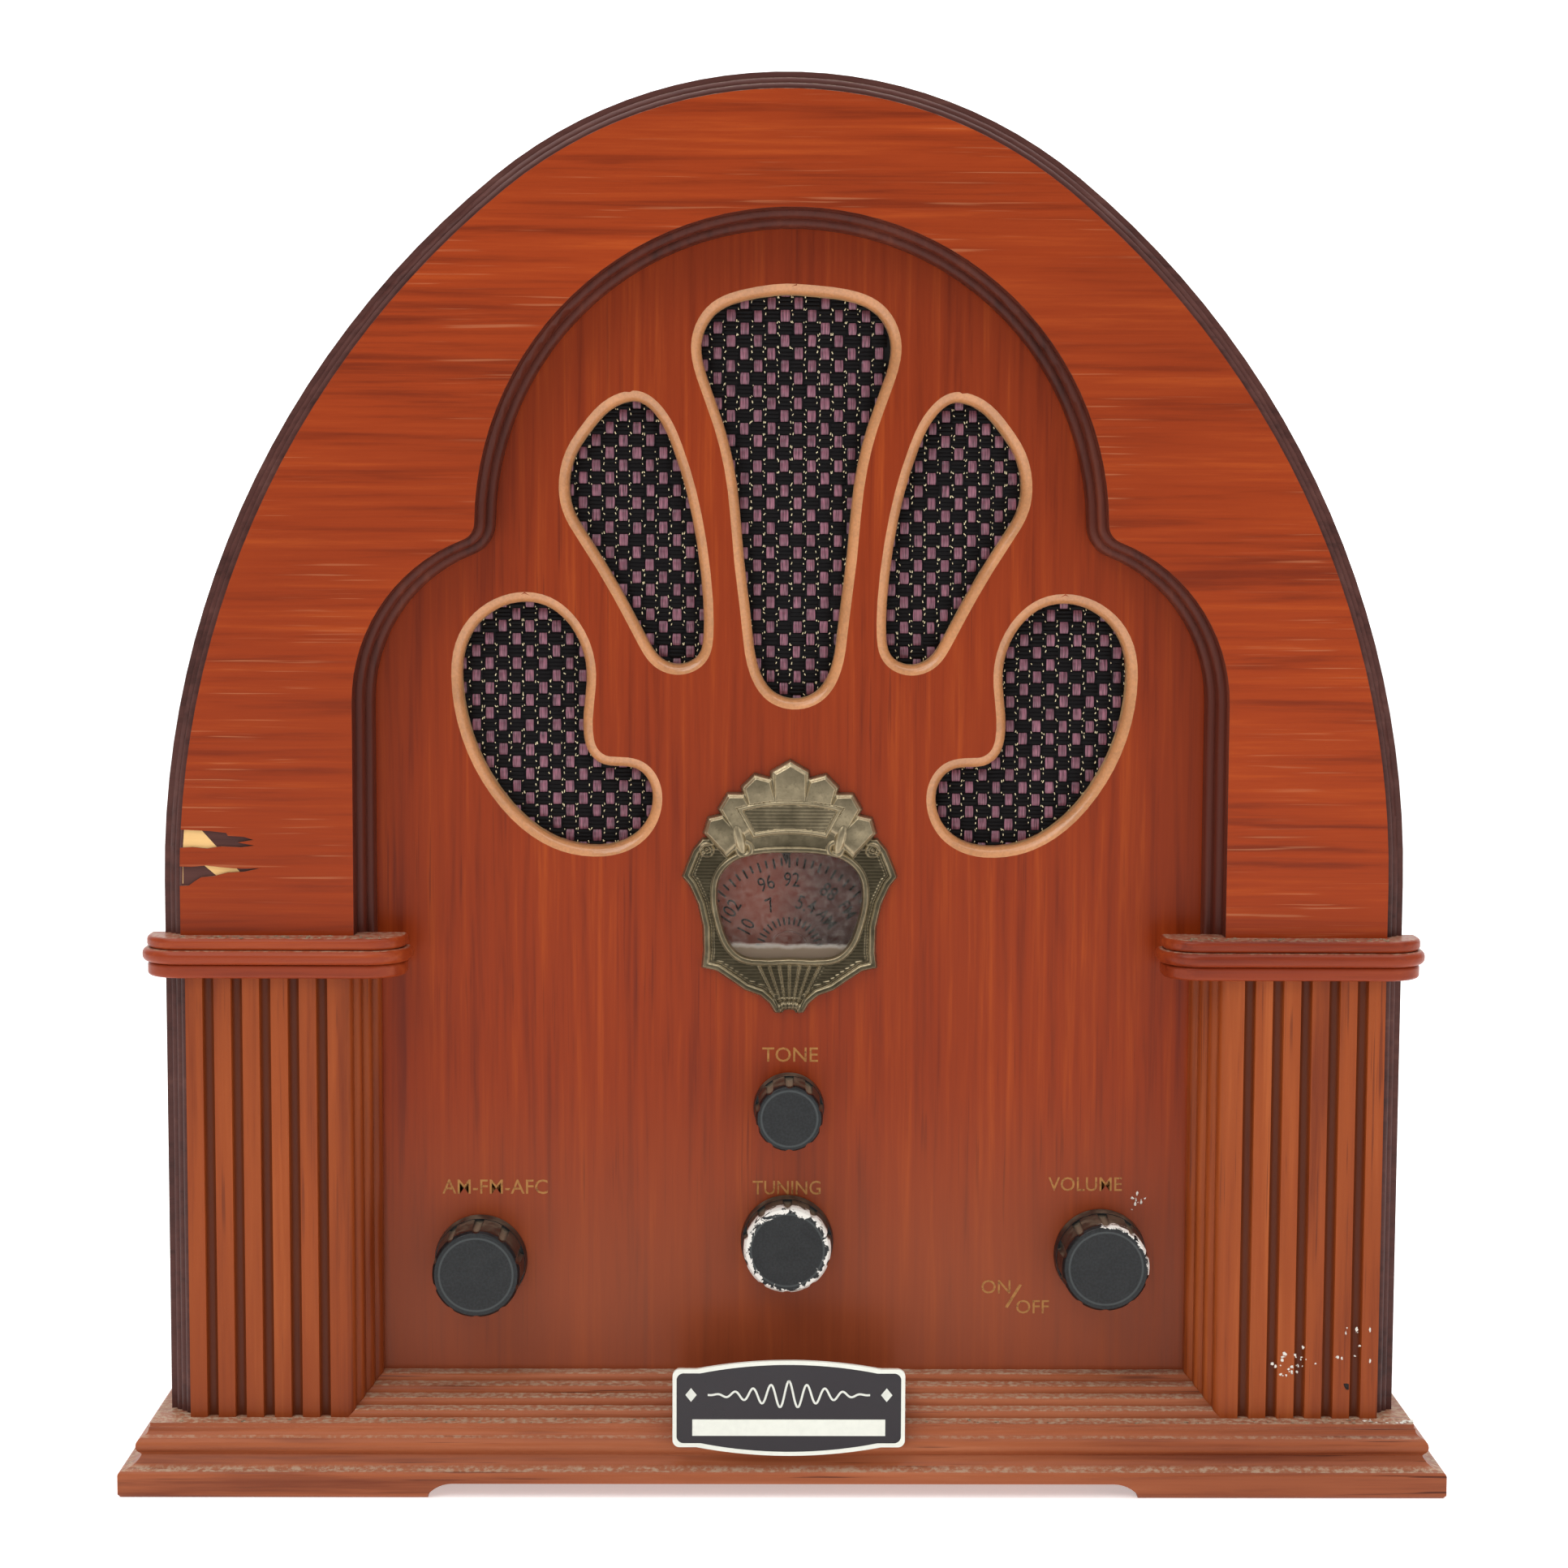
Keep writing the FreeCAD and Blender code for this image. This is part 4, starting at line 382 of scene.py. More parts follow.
def hard_looks():
    """Materials of the metal, plastic, rubber and electrical pieces."""
    zinc = brushed("zinc_steel", srgb(196, 196, 190), "X", 0.36)
    steel = brushed("bright_steel", srgb(205, 205, 205), "Y", 0.25)
    brass = brushed("brass_bright", srgb(206, 168, 92), "Y", 0.3)
    aluminium = brushed("can_aluminium", srgb(214, 214, 214), "Z", 0.34)
    rubber = plain("black_rubber", srgb(26, 26, 26), 0.7, grit=0.25)
    phenolic = plain("phenolic", srgb(62, 38, 24), 0.35)
    nylon = plain("drum_plastic", srgb(214, 206, 184), 0.42)
    speaker = plain("speaker_paint", srgb(34, 34, 36), 0.4)
    magnet = plain("magnet_ferrite", srgb(58, 58, 62), 0.55, grit=0.3)
    pulp = plain("paper_pulp", srgb(40, 38, 36), 0.85, grit=0.3, grit_scale=1400.0, bump=0.4)
    foam = plain("foam_roll", srgb(28, 28, 28), 0.9, grit=0.2, grit_scale=2400.0, bump=0.4)
    laminate = plain("laminate", srgb(150, 108, 58), 0.45, grit=0.15)
    sleeve = plain("cap_sleeve", srgb(24, 48, 110), 0.28)
    iron = plain("laminations", srgb(70, 70, 72), 0.45, grit=0.3, grit_scale=2000.0, bump=0.5)
    tape = plain("winding_tape", srgb(206, 178, 70), 0.4)
    ferrite = plain("ferrite", srgb(48, 48, 52), 0.5, grit=0.25)
    litz = plain("litz", srgb(188, 148, 88), 0.8, grit=0.35, grit_scale=3000.0, bump=0.6)
    leads = plain("lead_plastic", srgb(176, 34, 28), 0.4)
    lamp = plain("lamp_metal", srgb(190, 186, 176), 0.35, 0.8)
    table = {
        zinc: ("back_screws", "baffle_screws", "speaker_screws", "board_screws", "chassis_screws",
               "gang_frame", "gang_bracket", "tuning_bearing", "volume_control", "tone_control",
               "band_switch"),
        steel: ("volume_shaft", "band_shaft", "tone_shaft", "tuning_spindle"),
        brass: ("control_nuts", "board_standoffs"),
        aluminium: ("gang_rotor", "gang_stator", "if_transformers"),
        rubber: ("cord_grommet",),
        phenolic: ("aerial_terminals",),
        nylon: ("dial_drum",),
        speaker: ("speaker_basket",),
        magnet: ("speaker_magnet",),
        pulp: ("speaker_cone",),
        foam: ("speaker_surround",),
        laminate: ("circuit_board",),
        sleeve: ("capacitors",),
        iron: ("transformer_core",),
        tape: ("transformer_winding",),
        ferrite: ("ferrite_rod",),
        litz: ("ferrite_coil",),
        leads: ("wire_harness",),
        lamp: ("dial_lamp",),
    }
    for shader, names in table.items():
        for name in names:
            set_material(NODES[name], shader)


def knob_look(name):
    """Black moulded knob: dust on the skirt and in the grip, a painted highlight ring on the cap, and white
    flakes round the cap on some.
    """
    x, z, front_y, r, flakes, seed = KNOBS[name]
    s = Shader(name + "_black", 0.34)
    p = s.xyz()
    dx = s.math("SUBTRACT", p[0], (FACE_X + x) * MM)
    dz = s.math("SUBTRACT", p[2], z * MM)
    radius = s.math("SQRT", s.math("ADD", s.math("MULTIPLY", dx, dx), s.math("MULTIPLY", dz, dz)))
    grain = s.noise(s.scaled((1800.0,) * 3, (seed, 0, 0)), 1.0, 3.0, 0.65)
    cloud = s.noise(s.scaled((260.0,) * 3, (seed, 0, 0)), 1.0, 3.0, 0.6)
    colour = s.mix(s.ramp(grain, 0.3, 0.75), srgb(10, 12, 14), srgb(27, 31, 33))
    # painted highlight: a lighter ring on the cap where its bevel catches the light
    ring = s.math("ABSOLUTE", s.math("SUBTRACT", radius, r * 0.78 * MM))
    colour = s.mix(s.ramp(ring, 0.00035, 0.0001, 0.0, 0.35), colour, srgb(90, 96, 96))
    behind = s.ramp(p[1], (front_y + 1.2) * MM, (front_y + 3.0) * MM)
    up = s.ramp(s.normal()[2], 0.3, 0.9)
    film = s.math("MULTIPLY", s.math("MULTIPLY", behind, up), s.ramp(cloud, 0.35, 0.7, 0.1, 0.5))
    groove = s.ramp(radius, r * 0.95 * MM, r * 0.88 * MM)
    tick = s.math("MULTIPLY", s.math("MULTIPLY", groove, behind), s.ramp(dz, 0.1 * r * MM, 0.6 * r * MM))
    dusty = s.math("MAXIMUM", film, s.math("MULTIPLY", tick, 0.8))
    colour = s.mix(dusty, colour, srgb(134, 118, 98))
    rough = s.math("ADD", s.ramp(cloud, 0.2, 0.8, 0.26, 0.44), s.math("MULTIPLY", dusty, 0.35))
    if flakes:
        flake = s.noise(s.scaled((420.0, 900.0, 420.0), (seed * 3, 0, 0)), 1.0, 4.0, 0.7, 0.6)
        rim = s.ramp(radius, r * (0.88 - 0.22 * flakes) * MM, r * 0.93 * MM)
        near = s.ramp(p[1], (front_y + 4.5) * MM, (front_y + 1.0) * MM)
        lot = s.math("MULTIPLY", rim, near)
        if flakes < 0.6:
            corner = s.ramp(s.math("ADD", dx, dz), r * 0.55 * MM, r * 0.95 * MM)
            lot = s.math("MULTIPLY", lot, corner)
        chip = s.ramp(s.math("ADD", flake, s.math("MULTIPLY", lot, 0.30)), 0.70, 0.725)
        chip = s.math("MULTIPLY", chip, s.ramp(lot, 0.05, 0.3))
        colour = s.mix(chip, colour, srgb(232, 228, 220))
    s.set(Base_Color=colour, Roughness=rough, Specular_IOR_Level=0.35)
    s.bump(grain, 0.15, 0.00012)
    set_material(NODES[name], s)


def pane_look():
    """Clear dial pane with a haze and a heap of dust along its foot."""
    pane = Shader("clear_plastic", 0.08)
    haze = pane.ramp(pane.noise(pane.scaled((700.0,) * 3), 1.0, 3.0, 0.6), 0.35, 0.75, 0.01, 0.06)
    rough_edge = pane.noise(pane.scaled((260.0, 10.0, 260.0)), 1.0, 3.0, 0.6)
    dust_top = pane.math("ADD", pane.xyz()[2], pane.math("MULTIPLY", rough_edge, 0.0016))
    pile = pane.ramp(dust_top, (DIAL_Z + 3.7) * MM, (DIAL_Z + 2.1) * MM)
    pane.set(Base_Color=pane.mix(pile, srgb(240, 232, 220), srgb(122, 106, 90)),
             Roughness=pane.ramp(pile, 0, 1, 0.1, 0.9),
             Specular_IOR_Level=0.25,
             Alpha=pane.math("MAXIMUM", haze, pane.math("MULTIPLY", pile, 0.85)))
    set_material(NODES["dial_window"], pane)


def disc_look():
    """Red-brown scale disc with painted light: a blotchy glow, and a little lighter to the left."""
    disc = Shader("dial_plastic", 0.4)
    glow = disc.noise(disc.scaled((60.0,) * 3, (0.4, 0, 0)), 1.0, 2.0, 0.5)
    # painted light: the disc is a little lighter to the left
    left = disc.ramp(disc.xyz()[0], 0.012, -0.012)
    tone = disc.math("ADD", disc.math("MULTIPLY", glow, 0.6), disc.math("MULTIPLY", left, 0.5))
    disc.set(Base_Color=disc.mix(disc.ramp(tone, 0.2, 0.85), srgb(60, 22, 16), srgb(124, 60, 44)),
             Specular_IOR_Level=0.15)
    set_material(NODES["dial_disc"], disc)


def badge_look():
    """Plaque: black printed field, white border and a blank white strip."""
    black = plain("badge_black", srgb(26, 18, 26), 0.32, grit=0.1)
    white = plain("badge_white", srgb(236, 238, 226), 0.34, 0.0, grit=0.04)
    obj = NODES["badge_plate"]
    set_material(obj, black, white)

    def rule(c, n):
        front = n[:, 1] < -0.9
        strip = front & (np.abs(c[:, 2] - (BADGE_Z - 4.5)) < 1.95) & (np.abs(c[:, 0] - FACE_X) < 22.05)
        field = front & (c[:, 1] > BADGE_Y + 0.08) & ~strip
        return np.where(field, 0, 1)

    paint_faces(obj, rule)


# ---------------------------------------------------------------- mesh building
def mesh_object(name, verts, faces, shader, body="cabinet", smooth=True):
    """New mesh piece from arrays in mm, riding on a body."""
    mesh = bpy.data.meshes.new(name)
    mesh.from_pydata((np.asarray(verts) * MM).tolist(), [], [list(map(int, f)) for f in faces])
    mesh.polygons.foreach_set("use_smooth", [smooth] * len(mesh.polygons))
    mesh.update()
    obj = bpy.data.objects.new(name, mesh)
    bpy.context.scene.collection.objects.link(obj)
    obj.data.materials.append(shader.material)
    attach(obj, body)
    return obj


class Grids:
    """Collects rectangular patches of vertices into one mesh."""

    def __init__(self):
        self.verts = []
        self.faces = []
        self.count = 0

    def add(self, patch):
        """patch: array rows x columns x 3, in mm."""
        rows, cols = patch.shape[:2]
        index = self.count + np.arange(rows * cols).reshape(rows, cols)
        quads = np.stack([index[:-1, :-1], index[:-1, 1:], index[1:, 1:], index[1:, :-1]], -1).reshape(-1, 4)
        self.verts.append(patch.reshape(-1, 3))
        self.faces.append(quads)
        self.count += rows * cols

    def build(self, name, shader):
        return mesh_object(name, np.concatenate(self.verts), np.concatenate(self.faces), shader)


# ---------------------------------------------------------------- grille cloth
PITCH_X = 3.12
PITCH_Z = 2.88
CLOTH_FRONT_Y = CLOTH_Y + 0.28       # the sheet that the yarns lie on
CLOTH_LEFT = -84.0
CLOTH_RIGHT = 86.5
CLOTH_FOOT = 141.3
CLOTH_TOP = 278.0
NOTCH_HALF = 28.5        # the notch that clears the dial's disc: half its width, and its top
NOTCH_TOP = 149.1
GRILLE_SPANS = (         # x from, x to, z from, z to: boxes that hold the openings
    (-24.0, 24.0, 178.0, 276.0), (-55.0, -18.5, 186.0, 252.0), (20.5, 57.0, 186.0, 252.0),
    (-79.5, -30.0, 143.5, 205.5), (33.0, 81.5, 143.5, 205.5),
)
ALONG = np.linspace(-0.5, 0.5, 7)    # steps along and across a yarn
ACROSS = np.linspace(-1, 1, 7)
WEFT_STRANDS = 3


def near_opening(x, z):
    """True if a point of the cloth lies behind one of the openings."""
    return any(a <= x <= b and c <= z <= d for a, b, c, d in GRILLE_SPANS)


def weave():
    """Grille cloth: a backing sheet, mauve warp floats, black weft yarns and gold thread painted pale and
    bright as its glints.
    """
    rng = np.random.default_rng(11)
    weft_yarn = plain("black_yarn", srgb(14, 11, 13), 0.62, grit=0.3, grit_scale=5000.0, bump=0.5)
    weft_yarn.set(Specular_IOR_Level=0.15)
    # gold thread painted pale and bright as its glints
    gold = plain("gold_thread_glint", srgb(240, 226, 182), 0.3, grit=0.1, grit_scale=3000.0)
    warps, wefts, gold_glints = Grids(), Grids(), Grids()
    for i in range(int(CLOTH_LEFT / PITCH_X), int(CLOTH_RIGHT / PITCH_X) + 1):
        for j in range(int(CLOTH_FOOT / PITCH_Z), int(CLOTH_TOP / PITCH_Z) + 1):
            x = FACE_X + (i + 0.5) * PITCH_X
            z = (j + 0.5) * PITCH_Z
            if not near_opening(x, z):
                continue
            jitter = rng.normal(0, 0.05, 4)
            swell = 1 + rng.normal(0, 0.05)
            phase = (i + j) % 2
            if phase == 0:
                warps.add(warp_float(x + jitter[0], z + jitter[1], swell))
            else:
                for k in range(WEFT_STRANDS):
                    wefts.add(weft_strand(x + jitter[3], z + (k - 1) * PITCH_Z * 0.31 + jitter[2]))
            for side in (-1, 1):
                gold_glint_stitch(gold_glints, rng, x + side * PITCH_X * 0.44, z, phase)
    yarns = [warps.build("mauve_floats", satin_yarn()), wefts.build("black_weft", weft_yarn),
             gold_glints.build("gold_glint_threads", gold)]
    sheet = backing_sheet()
    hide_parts("grille_cloth")


def backing_sheet():
    """Dark sheet behind the yarns, in three patches round the notch."""
    cloth = plain("cloth_backing", srgb(14, 11, 13), 0.95, grit=0.2, grit_scale=2500.0)
    patches = (
        (CLOTH_LEFT, FACE_X - NOTCH_HALF, CLOTH_FOOT, NOTCH_TOP),
        (FACE_X + NOTCH_HALF, CLOTH_RIGHT, CLOTH_FOOT, NOTCH_TOP),
        (CLOTH_LEFT, CLOTH_RIGHT, NOTCH_TOP, CLOTH_TOP),
    )
    base = Grids()
    for x_from, x_to, z_from, z_to in patches:
        gx, gz = np.meshgrid(np.linspace(x_from, x_to, 40), np.linspace(z_from, z_to, 40))
        base.add(np.stack([gx, np.full_like(gx, CLOTH_FRONT_Y), gz], -1))
    return base.build("cloth_backing", cloth)


def warp_float(x, z, swell):
    """One fat mauve yarn that crosses over a cell, bulging to the front."""
    half_width = 0.94 * swell * (1 - 0.10 * (2 * np.abs(ALONG)) ** 3)
    px = x + half_width[:, None] * ACROSS[None, :]
    pz = np.repeat((z + ALONG * PITCH_Z * 0.94)[:, None], ACROSS.size, 1)
    crown = 0.62 * np.sqrt(np.clip(1 - (2.02 * ALONG * 0.94) ** 2, 0, 1))
    cord = 0.78 + 0.22 * np.sqrt(np.clip(1 - ACROSS ** 2, 0, 1))
    py = CLOTH_FRONT_Y - 0.08 - crown[:, None] * cord[None, :]
    return np.stack([px, py, pz], -1)[:, ::-1]


def weft_strand(x, z):
    """One thin black yarn that runs across a cell."""
    pz = np.repeat((z + PITCH_Z * 0.16 * ACROSS)[None, :], ALONG.size, 0)
    px = np.repeat((x + ALONG * PITCH_X * 1.12)[:, None], ACROSS.size, 1)
    crown = 0.42 * np.sqrt(np.clip(1 - (2 * ALONG * 0.96) ** 2, 0, 1))
    thread = np.sqrt(np.clip(1 - ACROSS ** 2, 0, 1)) * 0.22
    py = CLOTH_FRONT_Y - 0.05 - crown[:, None] - thread[None, :]
    return np.stack([px, py, pz], -1)


def gold_glint_stitch(grids, rng, x, z, phase):
    """Short metallic loops that surface at the edges of a cell, painted pale and bright as their glints."""
    spots = ((0.0, 0.5), (0.0, -0.46)) if phase == 0 else ((0.0, 0.12),)
    for dx, dz in spots:
        if rng.random() < 0.3:
            continue
        length = rng.uniform(0.14, 0.32)
        half = rng.uniform(0.07, 0.11)
        tilt = rng.normal(0, 0.35)
        u = np.linspace(-1, 1, 4)
        v = np.array([-1.0, 0.0, 1.0])
        along = u[:, None] * length
        side = np.repeat(v[None, :] * half, u.size, 0)
        px = x + dx * PITCH_X + rng.normal(0, 0.1) + along * math.sin(tilt) + side * math.cos(tilt)
        pz = z + dz * PITCH_Z + rng.normal(0, 0.12) + along * math.cos(tilt) - side * math.sin(tilt)
        lift = 0.55 + 0.16 * (1 - u[:, None] ** 2) + 0.05 * (1 - v[None, :] ** 2)
        py = CLOTH_FRONT_Y - lift
        grids.add(np.stack([px, py, pz], -1)[:, ::-1])


def satin_yarn():
    """Glossy mauve yarn: fine filaments along Z with a soft sheen."""
    s = Shader("mauve_yarn", 0.36)
    filament = s.noise(s.scaled((5200.0, 300.0, 260.0)), 1.0, 2.0, 0.5)
    cell = s.noise(s.scaled((330.0, 10.0, 350.0)), 1.0, 1.0, 0.5)
    colour = s.mix(s.ramp(filament, 0.3, 0.7), srgb(66, 30, 44), srgb(156, 98, 116))
    colour = s.mix(s.ramp(cell, 0.35, 0.65, 0.0, 0.4), colour, srgb(96, 46, 62))
    s.set(Base_Color=colour, Roughness=s.ramp(filament, 0.2, 0.8, 0.3, 0.46))
    s.bsdf.inputs["Sheen Weight"].default_value = 0.25
    s.bump(filament, 0.5, 0.00015)
    return s


# ---------------------------------------------------------------- cast dial surround
# Points of the casting: x from its middle, z above the dial's axis.
LEAF_EDGE = [
    (20.4, 27.5), (22.6, 24.8), (24.0, 21.4), (25.1, 18.5), (23.4, 16.4), (21.4, 12.0),
    (20.2, 6.6), (20.1, 0.8), (20.5, -2.9), (17.0, -3.7), (13.4, -6.1), (10.4, -8.2),
    (6.8, -9.5), (4.6, -11.4), (3.4, -13.5), (2.2, -13.7), (1.2, -12.6),
]
PETALS = ((0.0, 40.2, 5.6), (7.1, 38.1, 4.7), (12.4, 34.1, 4.6), (16.3, 29.4, 4.1))
WINDOW_HALF = [
    (7.5, 23.7), (12.8, 22.1), (16.2, 18.5), (16.9, 13.2), (15.7, 7.2), (13.8, 2.6),
    (10.6, -0.2), (5.5, -0.8),
]
WINDOW_TOP = 24.1
WINDOW_FOOT = -0.6
SWAG_Z = -8.8            # centre of the banner's curve
SWAG_R = 41.4            # and its radius
SUNK = -0.3              # height given to everything outside the casting


def segment_distance(px, pz, points):
    """Distance from each grid point to a closed polyline, and whether it lies inside."""
    best = np.full(px.shape, 1e9)
    inside = np.zeros(px.shape, bool)
    for (ax, az), (bx, bz) in zip(points, points[1:] + points[:1]):
        ex, ez = bx - ax, bz - az
        along = np.clip(((px - ax) * ex + (pz - az) * ez) / (ex * ex + ez * ez + 1e-12), 0, 1)
        best = np.minimum(best, np.hypot(px - ax - along * ex, pz - az - along * ez))
        crosses = (az > pz) != (bz > pz)
        slope = ex * (pz - az) / (ez if ez else 1e-12) + ax
        inside ^= crosses & (px < slope)
    return best, inside


def signed(px, pz, points):
    """Signed distance, positive inside."""
    d, inside = segment_distance(px, pz, points)
    return np.where(inside, d, -d)


def smooth_closed(points, per=8):
    """Catmull-Rom curve through a closed list of points."""
    p = np.array(points)
    out = []
    for k in range(len(p)):
        a, b, c, d = p[k - 1], p[k], p[(k + 1) % len(p)], p[(k + 2) % len(p)]
        for t in np.arange(per) / per:
            out.append(0.5 * (2 * b + (c - a) * t + (2 * a - 5 * b + 4 * c - d) * t ** 2
                              + (3 * b - a - 3 * c + d) * t ** 3))
    return [tuple(v) for v in out]


def step(value, low, high):
    """Smooth 0 to 1 step."""
    t = np.clip((value - low) / (high - low), 0, 1)
    return t * t * (3 - 2 * t)


def ridge(distance, centre, half):
    """Rounded ridge where a distance is near a centre value."""
    return np.sqrt(np.clip(1 - ((distance - centre) / half) ** 2, 0, 1))


def petal_height(x, z, cx, cz, r):
    """Faceted petal: five planes falling away from a domed middle."""
    angle = math.atan2(cz - 12.2, cx)
    u = (x - cx) * math.cos(angle) + (z - cz) * math.sin(angle)
    v = -(x - cx) * math.sin(angle) + (z - cz) * math.cos(angle)
    side = r * 0.82
    gable = np.maximum(np.abs(v) / side, (u * 0.86 + np.abs(v) * 0.5) / (r * 0.88))
    gable = np.maximum(gable, -u / (r * 1.5))
    edge = 1.0 - gable
    face = step(edge, 0.0, 0.13) * 0.85 + step(edge, 0.13, 0.30) * 0.55
    dish = 0.5 * np.clip(1 - np.hypot(u * 0.9, v) / (r * 0.75), 0, 1)
    return np.where(edge > -0.02, 1.25 + face + dish * 0.8, 0.0), edge


def shield_height(z, d_leaf, d_window):
    """Ribbed body of the casting with a raised rim."""
    body = np.where(d_leaf > SUNK, SUNK + 1.35 * step(d_leaf, -0.25, 0.35), SUNK)
    rim = ridge(d_leaf, 0.75, 0.85) * 0.75 * step(-z, -28.7, -25.7)
    inner = ridge(d_leaf, 2.3, 0.35) * 0.22 * step(-z, -27.7, -24.7)
    ribs = 0.16 * (0.5 + 0.5 * np.cos(2 * math.pi * z / 0.78))
    field = step(d_leaf, 1.7, 2.1) * step(d_window, 1.6, 2.0) * step(-z, -27.2, -25.7)
    return body + rim + inner + ribs * field


def fan_height(ax, z):
    """Rays of the small fan under the window."""
    fan_x = ax / np.clip((z + 17.3) / 15.0, 0.2, 2)
    fan = step(-z, 1.2, 1.8) * step(8.6 - fan_x, 0.0, 0.6)
    rays = np.abs((fan_x / 2.4 + 0.5) % 1.0 - 0.5)
    return fan * (0.62 * step(0.17 - rays, 0.0, 0.13) - 0.12)


def crown_height(ax, z):
    """Petals along the top, each over the ones below it."""
    crown = np.full_like(z, SUNK)
    for cx, cz, r in sorted(PETALS, key=lambda petal: petal[1]):
        height, edge = petal_height(ax, z, cx, cz, r)
        crown = np.where(edge > 0.0, np.maximum(height + 0.012 * (cz - 29.2), crown), crown)
    return crown


def add_side_leaves(h, ax, z):
    """Tongue, curl and scroll at each side of the banner."""
    tongue = np.hypot((ax - 11.8 - (z - 27.7) * 0.22) / 1.55, (z - 27.8) / 4.2)
    roll = np.sqrt(np.clip(1 - tongue ** 2, 0, 1))
    h = np.where(tongue < 1, np.maximum(h, 1.3 + 2.0 * roll), h)
    curl = np.hypot(ax - 10.6, z - 25.1)
    h = np.where(curl < 2.3, np.maximum(h, 1.3 + 1.1 * ridge(curl, 1.6, 0.7) + 0.5 * (curl < 0.7)), h)
    scroll = np.hypot(ax - 19.3, z - 24.8)
    return h + np.where(scroll < 1.9, 0.55 * ridge(scroll, 1.2, 0.55) + 0.3 * (scroll < 0.45), 0)


def add_banner(h, z, swag_r, angle):
    """Ribbed banner across the top of the window."""
    banner_r = swag_r - SWAG_R
    banner_d = np.minimum(3.9 - np.abs(banner_r), 10.6 + banner_r * 0.28 - angle * SWAG_R)
    banner = 2.15 + 0.75 * ridge(banner_d, 0.55, 0.55)
    banner = banner + 0.14 * (0.5 + 0.5 * np.cos(2 * math.pi * z / 0.8)) * (banner_d > 1.2)
    return np.where(banner_d > 0, banner, h)


def mirrored(points):
    """The same points on the other side of the middle, in reverse."""
    return [(-a, b) for a, b in reversed(points)]


def relief(x, z):
    """Height of the casting above the panel; x from its middle and z above the dial's axis."""
    ax = np.abs(x)
    window = [(0, WINDOW_TOP)] + WINDOW_HALF + [(0, WINDOW_FOOT)] + mirrored(WINDOW_HALF)
    d_leaf = signed(x, z, LEAF_EDGE + mirrored(LEAF_EDGE))
    d_window = -signed(x, z, smooth_closed(window))
    h = shield_height(z, d_leaf, d_window) + fan_height(ax, z)
    scallop = ridge(np.hypot(ax, z + 13.9), 1.45, 0.55) * step(z, -13.8, -13.4)
    h = np.maximum(h, scallop * 1.6 - 0.2)
    crown = crown_height(ax, z)
    h = np.maximum(h, crown * step(d_window, 0.2, 0.6))
    swag_r = np.hypot(ax, z - SWAG_Z)
    angle = np.arctan2(ax, z - SWAG_Z)
    saddle = ridge(swag_r, 40.6, 6.6) * step(0.33 - angle, 0.0, 0.06)
    raised = (saddle > 0) & (d_window > 0.3)
    h = np.where(raised, np.maximum(h, 1.15 + 0.9 * saddle * step(d_window, 0.3, 1.6)), h)
    h = np.where((d_leaf < SUNK) & (crown < 0) & (saddle <= 0), SUNK, h)
    h = add_banner(add_side_leaves(h, ax, z), z, swag_r, angle)
    lip = ridge(d_window, 0.75, 0.8)
    h = np.where((d_window < 1.6) & (d_leaf > 0), np.maximum(h, 1.25 + 0.85 * lip), h)
    h = np.where(d_window < 0.25, h * step(d_window, 0.0, 0.25), h)
    return np.where(d_window < 0, SUNK, h), d_window


def cast_surround():
    """Antiqued casting round the dial window, as one relief surface."""
    pitch = 0.17
    xs = np.arange(-26.0, 26.0 + pitch, pitch)
    zs = np.arange(-14.6, 47.2, pitch)
    gx, gz = np.meshgrid(xs, zs)
    h, d_window = relief(gx, gz)
    keep = h > -0.2
    cell = keep[:-1, :-1] | keep[1:, :-1] | keep[:-1, 1:] | keep[1:, 1:]
    cell &= (d_window[:-1, :-1] > -pitch) & (d_window[1:, 1:] > -pitch)
    used = np.zeros(h.shape, bool)
    for rows in (slice(None, -1), slice(1, None)):
        for cols in (slice(None, -1), slice(1, None)):
            used[rows, cols] |= cell
    index = np.zeros(h.shape, int)
    index[used] = np.arange(used.sum())
    verts = np.stack([gx + FACE_X, PANEL_Y - np.maximum(h, -0.25), gz + DIAL_Z], -1)[used]
    a, b = index[:-1, :-1][cell], index[:-1, 1:][cell]
    c, d = index[1:, 1:][cell], index[1:, :-1][cell]
    obj = mesh_object("dial_surround", verts, np.stack([a, b, c, d], -1), antique_brass())
    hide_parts("escutcheon")


def antique_brass():
    """Pewter-toned brass: bright worn high spots, painted highlights on the sloping faces, dark patina in the
    recesses.
    """
    s = Shader("aged_brass", 0.34, 0.9)
    y = s.xyz()[1]
    height = s.math("SUBTRACT", PANEL_Y * MM, y)
    grain = s.noise(s.scaled((1500.0,) * 3), 1.0, 4.0, 0.65)
    cloud = s.noise(s.scaled((180.0,) * 3), 1.0, 3.0, 0.6)
    # painted highlight: sloping faces of the relief are made lighter
    slope = s.ramp(s.math("ABSOLUTE", s.normal()[1]), 0.97, 0.75)
    level = s.math("ADD", s.ramp(height, 0.0008, 0.0036, 0.0, 0.4), s.math("MULTIPLY", cloud, 0.45))
    level = s.math("ADD", level, s.math("MULTIPLY", slope, 0.45))
    colour = s.mix(s.ramp(level, 0.2, 1.0), srgb(58, 52, 38), srgb(184, 168, 136))
    colour = s.mix(s.ramp(grain, 0.5, 0.8, 0.0, 0.5), colour, srgb(64, 58, 42))
    s.set(Base_Color=colour, Roughness=s.ramp(grain, 0.2, 0.8, 0.28, 0.48))
    s.bump(grain, 0.25, 0.00012)
    set_material(NODES["escutcheon_pins"], s)
    return s


